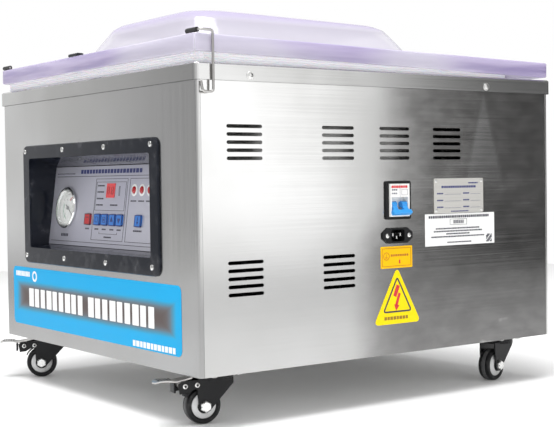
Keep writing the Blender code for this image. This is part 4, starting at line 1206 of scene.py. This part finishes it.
def both_sides(half):
    """A ring's profile from one half of it, mirrored across the wheel's middle."""
    return [(r, -h) for r, h in half] + [(r, h) for r, h in reversed(half)]


def hexagon(radius, high):
    """A chamfered hexagonal bolt head."""
    head = turned([(radius, 0.0), (radius, high * 0.72), (radius * 0.86, high)], 6)
    dome = turned([(radius * 0.8, high), (radius * 0.74, high + 0.0004)], 20)
    return together([head, dome])


hex_head = hexagon(0.0079, 0.005)
flat_head = hexagon(0.0052, 0.0032)
RIVET = [(0.0034, 0.0), (0.0034, 0.0006), (0.0028, 0.0013), (0.0018, 0.0015), (0.0014, 0.0007)]
rivet_head = smoothed(turned(RIVET, 24), 40)
TREAD = [(0.0238, -0.0033), (0.0245, -0.0027), (0.0245, 0.0027), (0.0238, 0.0033)]
wheel_parts = {
    "tyre": (smoothed(turned(both_sides(TYRE), 64, True), 40), tyre_black, "tyre_black"),
    "tread_band": (turned(TREAD, 64, True), tread_grey, "tyre_black"),
    "hub_ring": (smoothed(turned(both_sides(RIM), 48, True), 40), hub_pale, "cast_grey"),
    "bearing_cover": (smoothed(turned(both_sides(BEARING), 40, True), 40), matte_black, "caster_black"),
}
AXLE_Y = -0.021
BOLT_SEAT = 0.0142
RIVET_SEAT = 0.0148
EYE_SEAT = 0.0161
RIVET_SPOTS = ((-0.0487, 0.053), (-0.032, 0.0535))
PLATE_BOLT_SPOTS = ((-0.0235, -0.0185), (0.0235, -0.0185), (0.0235, 0.0185), (-0.0235, 0.0185))
for name in ("front_left", "front_right", "rear_left", "rear_right"):
    x, y, z = joints[f"{name}_turn"]["pos_m"]
    axle = joints[f"{name}_roll"]["axis"]
    place = at(x, y, 0) @ Matrix.Rotation(math.atan2(axle[1], axle[0]), 4, "Z")
    hub = place @ at(0, AXLE_Y, WHEEL_R) @ spun(90, "Y")
    for part, (pattern, finish, slot) in wheel_parts.items():
        piece = copied(pattern, hub)
        piece.name = f"{name}_{part}"
        finished(piece, finish, f"{name}_roller")
    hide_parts(f"{name}_wheel")
    dress(black_paint, f"{name}_plate", f"{name}_fork")

    heads = []
    for side in (-1, 1):
        heads.append(copied(hex_head, place @ facing(side * BOLT_SEAT, AXLE_Y, WHEEL_R, (side, 0, 0))))
        if name.startswith("front"):
            for pin_y, pin_z in RIVET_SPOTS:
                seat = place @ facing(side * RIVET_SEAT, pin_y, pin_z, (side, 0, 0))
                heads.append(copied(rivet_head, seat))
    fitted(f"{name}_axle_bolt", heads, zinc, body=f"{name}_swivel")
    heads = []
    for dx, dy in PLATE_BOLT_SPOTS:
        heads.append(copied(flat_head, facing(x + dx, y + dy, 0.0672, (0, 0, -1))))
    fitted(f"{name}_plate_bolts", heads, zinc)

    if name.startswith("front"):
        pedal = refined(f"{name}_pedal", f"{name}_sprung_pedal", 60, 2)
        finished(pedal, dull_zinc, f"{name}_brake")
        ribs = []
        for k in range(5):
            y = -0.0825 + k * 0.004
            rib = slab((-0.006, y, 0.0616), (0.006, y + 0.0012, 0.0626), 0.0, 2, 0.0003)
            ribs.append(settled(rib, "rib", place))
        fitted(f"{name}_pedal_ribs", ribs, black_paint, body=f"{name}_brake")
        leaf = slab((-0.008, -0.062, 0.044), (0.008, -0.0592, 0.057), 0.0, 2, 0.0008)
        fitted(f"{name}_brake_leaf", [leaf], black_paint, place, f"{name}_brake")
        eyes = []
        for side in (-1, 1):
            for pin_y, pin_z in RIVET_SPOTS:
                eye = turned([(0.0017, 0.0), (0.0017, 0.0004)], 16)
                eyes.append(settled(eye, "eye", place @ facing(side * EYE_SEAT, pin_y, pin_z, (side, 0, 0))))
        fitted(f"{name}_rivet_eyes", eyes, black_paint, body=f"{name}_swivel")
        guard = sector(0.0262, 0.028, 0.017, 202, 242)
        seat = place @ at(-0.0085, AXLE_Y, WHEEL_R) @ spun(90, "Y")
        fitted(f"{name}_wheel_guard", [guard], black_paint, seat, f"{name}_swivel")
for item in [hex_head, flat_head, rivet_head] + [row[0] for row in wheel_parts.values()]:
    bpy.data.objects.remove(item, do_unlink=True)


# Chamber: a deep-drawn stainless tub welded under the deck, dull inside from use. The deck's opening
# is bordered by the tub's flange, and a sieve plate covers the suction port in its rear wall.

plain_steel("tub_steel", "X", (0.62, 0.62, 0.615), (0.54, 0.54, 0.53), 0.28, "vacuum_chamber")

PORT = (0.12, 0.196, 0.4)
sieve = turned([(0.003, 0.0), (0.018, 0.0), (0.018, 0.0008), (0.003, 0.0016)], 32, True)
fitted("suction_sieve", [smoothed(sieve, 40)], zinc, facing(*PORT, (0, -1, 0)))
slots = []
for k in range(12):
    slot = slab((0.007, -0.0012, 0.0002), (0.015, 0.0012, 0.0016), 0.0011, 2, 0.0, 3)
    slots.append(settled(slot, "slot", facing(*PORT, (0, -1, 0)) @ spun(30 * k, "Z")))
fitted("sieve_slots", slots, matte_black)


# Filler board: a white polyethylene board on the tub's floor, milled with finger notches and scored
# by knives. It fills the chamber where the goods don't.

board_white = mottled(
    "board_white", (0.86, 0.86, 0.84), (0.74, 0.73, 0.7), 30.0, 0.48, share=0.5, detail=5.0, bump=0.0003,
    stretch=(1, 8, 1), shift=2.0, Subsurface_Weight=0.1,
)
dress(board_white, "filler_board")


# Sealing bars: aluminium bars on sprung lifters. A heater strip runs under brown non-stick tape on top,
# and it ends in a brass terminal with a screw at each end.

BAR_NODES = ("front_seal_bar", "rear_seal_bar", "front_bar_lifter", "rear_bar_lifter")
plain_steel("bar_aluminium", "X", (0.74, 0.74, 0.75), (0.64, 0.64, 0.65), 0.3, *BAR_NODES)

tape = Finish("heater_tape", (0.3, 0.2, 0.11), 0.42)
weave = tape.bands("X", 300.0)
tape.bumped(weave, 0.0001)
tape.tinted(weave * 0.4, (0.34, 0.22, 0.12), (0.22, 0.14, 0.07))
brass = mottled("brass", (0.8, 0.58, 0.26), (0.6, 0.42, 0.18), 120.0, 0.28, metallic=1.0)
for side in ("front", "rear"):
    low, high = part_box(f"{side}_seal_bar")
    y = (low.y + high.y) / 2
    top = high.z
    strip = slab((low.x + 0.012, y - 0.0058, top), (high.x - 0.012, y + 0.0058, top + 0.0003), 0.0, 2)
    fitted(f"{side}_heater_tape", [strip], tape, body=f"{side}_bar")
    wire = slab((low.x + 0.01, y - 0.0015, top + 0.0003), (high.x - 0.01, y + 0.0015, top + 0.0005), 0.0, 2)
    fitted(f"{side}_heater_strip", [wire], tape, body=f"{side}_bar")
    blocks = []
    for end, x in ((-1, low.x), (1, high.x)):
        inner, outer = sorted((x + end * 0.0006, x - end * 0.0095))
        foot = (inner, low.y - 0.0007, top - 0.014)
        blocks.append(slab(foot, (outer, high.y + 0.0007, top - 0.001), 0.0, 2, 0.0005))
        spot = facing(x - end * 0.0046, low.y - 0.0007, top - 0.0072, (0, -1, 0))
        blocks.append(settled(screw_head(0.0028), "screw", spot))
    fitted(f"{side}_bar_terminals", blocks, brass, body=f"{side}_bar")


# Works inside the cabinet: a cast vacuum pump and its motor on the base tray, the sealing transformer,
# and the hose from the pump to the tub. These are hidden behind the sheets.

cast = mottled(
    "cast_grey", (0.24, 0.26, 0.28), (0.15, 0.16, 0.18), 160.0, 0.4, 0.25, detail=5.0, bump=0.0004,
    metallic=0.2,
)
dress(cast, "vacuum_pump")

dress(matte_black, "motor_fan")
fan_cap = smoothed(turned([(0.015, 0.0), (0.015, 0.002), (0.011, 0.0034), (0.004, 0.004)], 32), 40)
hub = middle("motor_fan")
fan_spot = facing(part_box("motor_fan")[1].x, hub.y, hub.z, (1, 0, 0))
fitted("fan_cap", [fan_cap], zinc, fan_spot, "pump_fan")

core = Finish("laminated_core", (0.16, 0.15, 0.15), 0.5, 0.7)
plates = core.bands("Y", 500.0)
core.bumped(plates, 0.0003)
core.tinted(plates, (0.2, 0.19, 0.18), (0.09, 0.085, 0.08))
dress(core, "transformer")

hose_grey = Finish("hose_grey", (0.22, 0.23, 0.24), 0.5)
turns = hose_grey.bands("Z", 120.0)
hose_grey.bumped(turns, 0.0006)
hose_grey.tinted(turns * 0.5, (0.26, 0.27, 0.28), (0.16, 0.17, 0.18))
hose = refined("vacuum_hose", "ribbed_hose", 50, 1)
finished(hose, hose_grey, "cabinet")
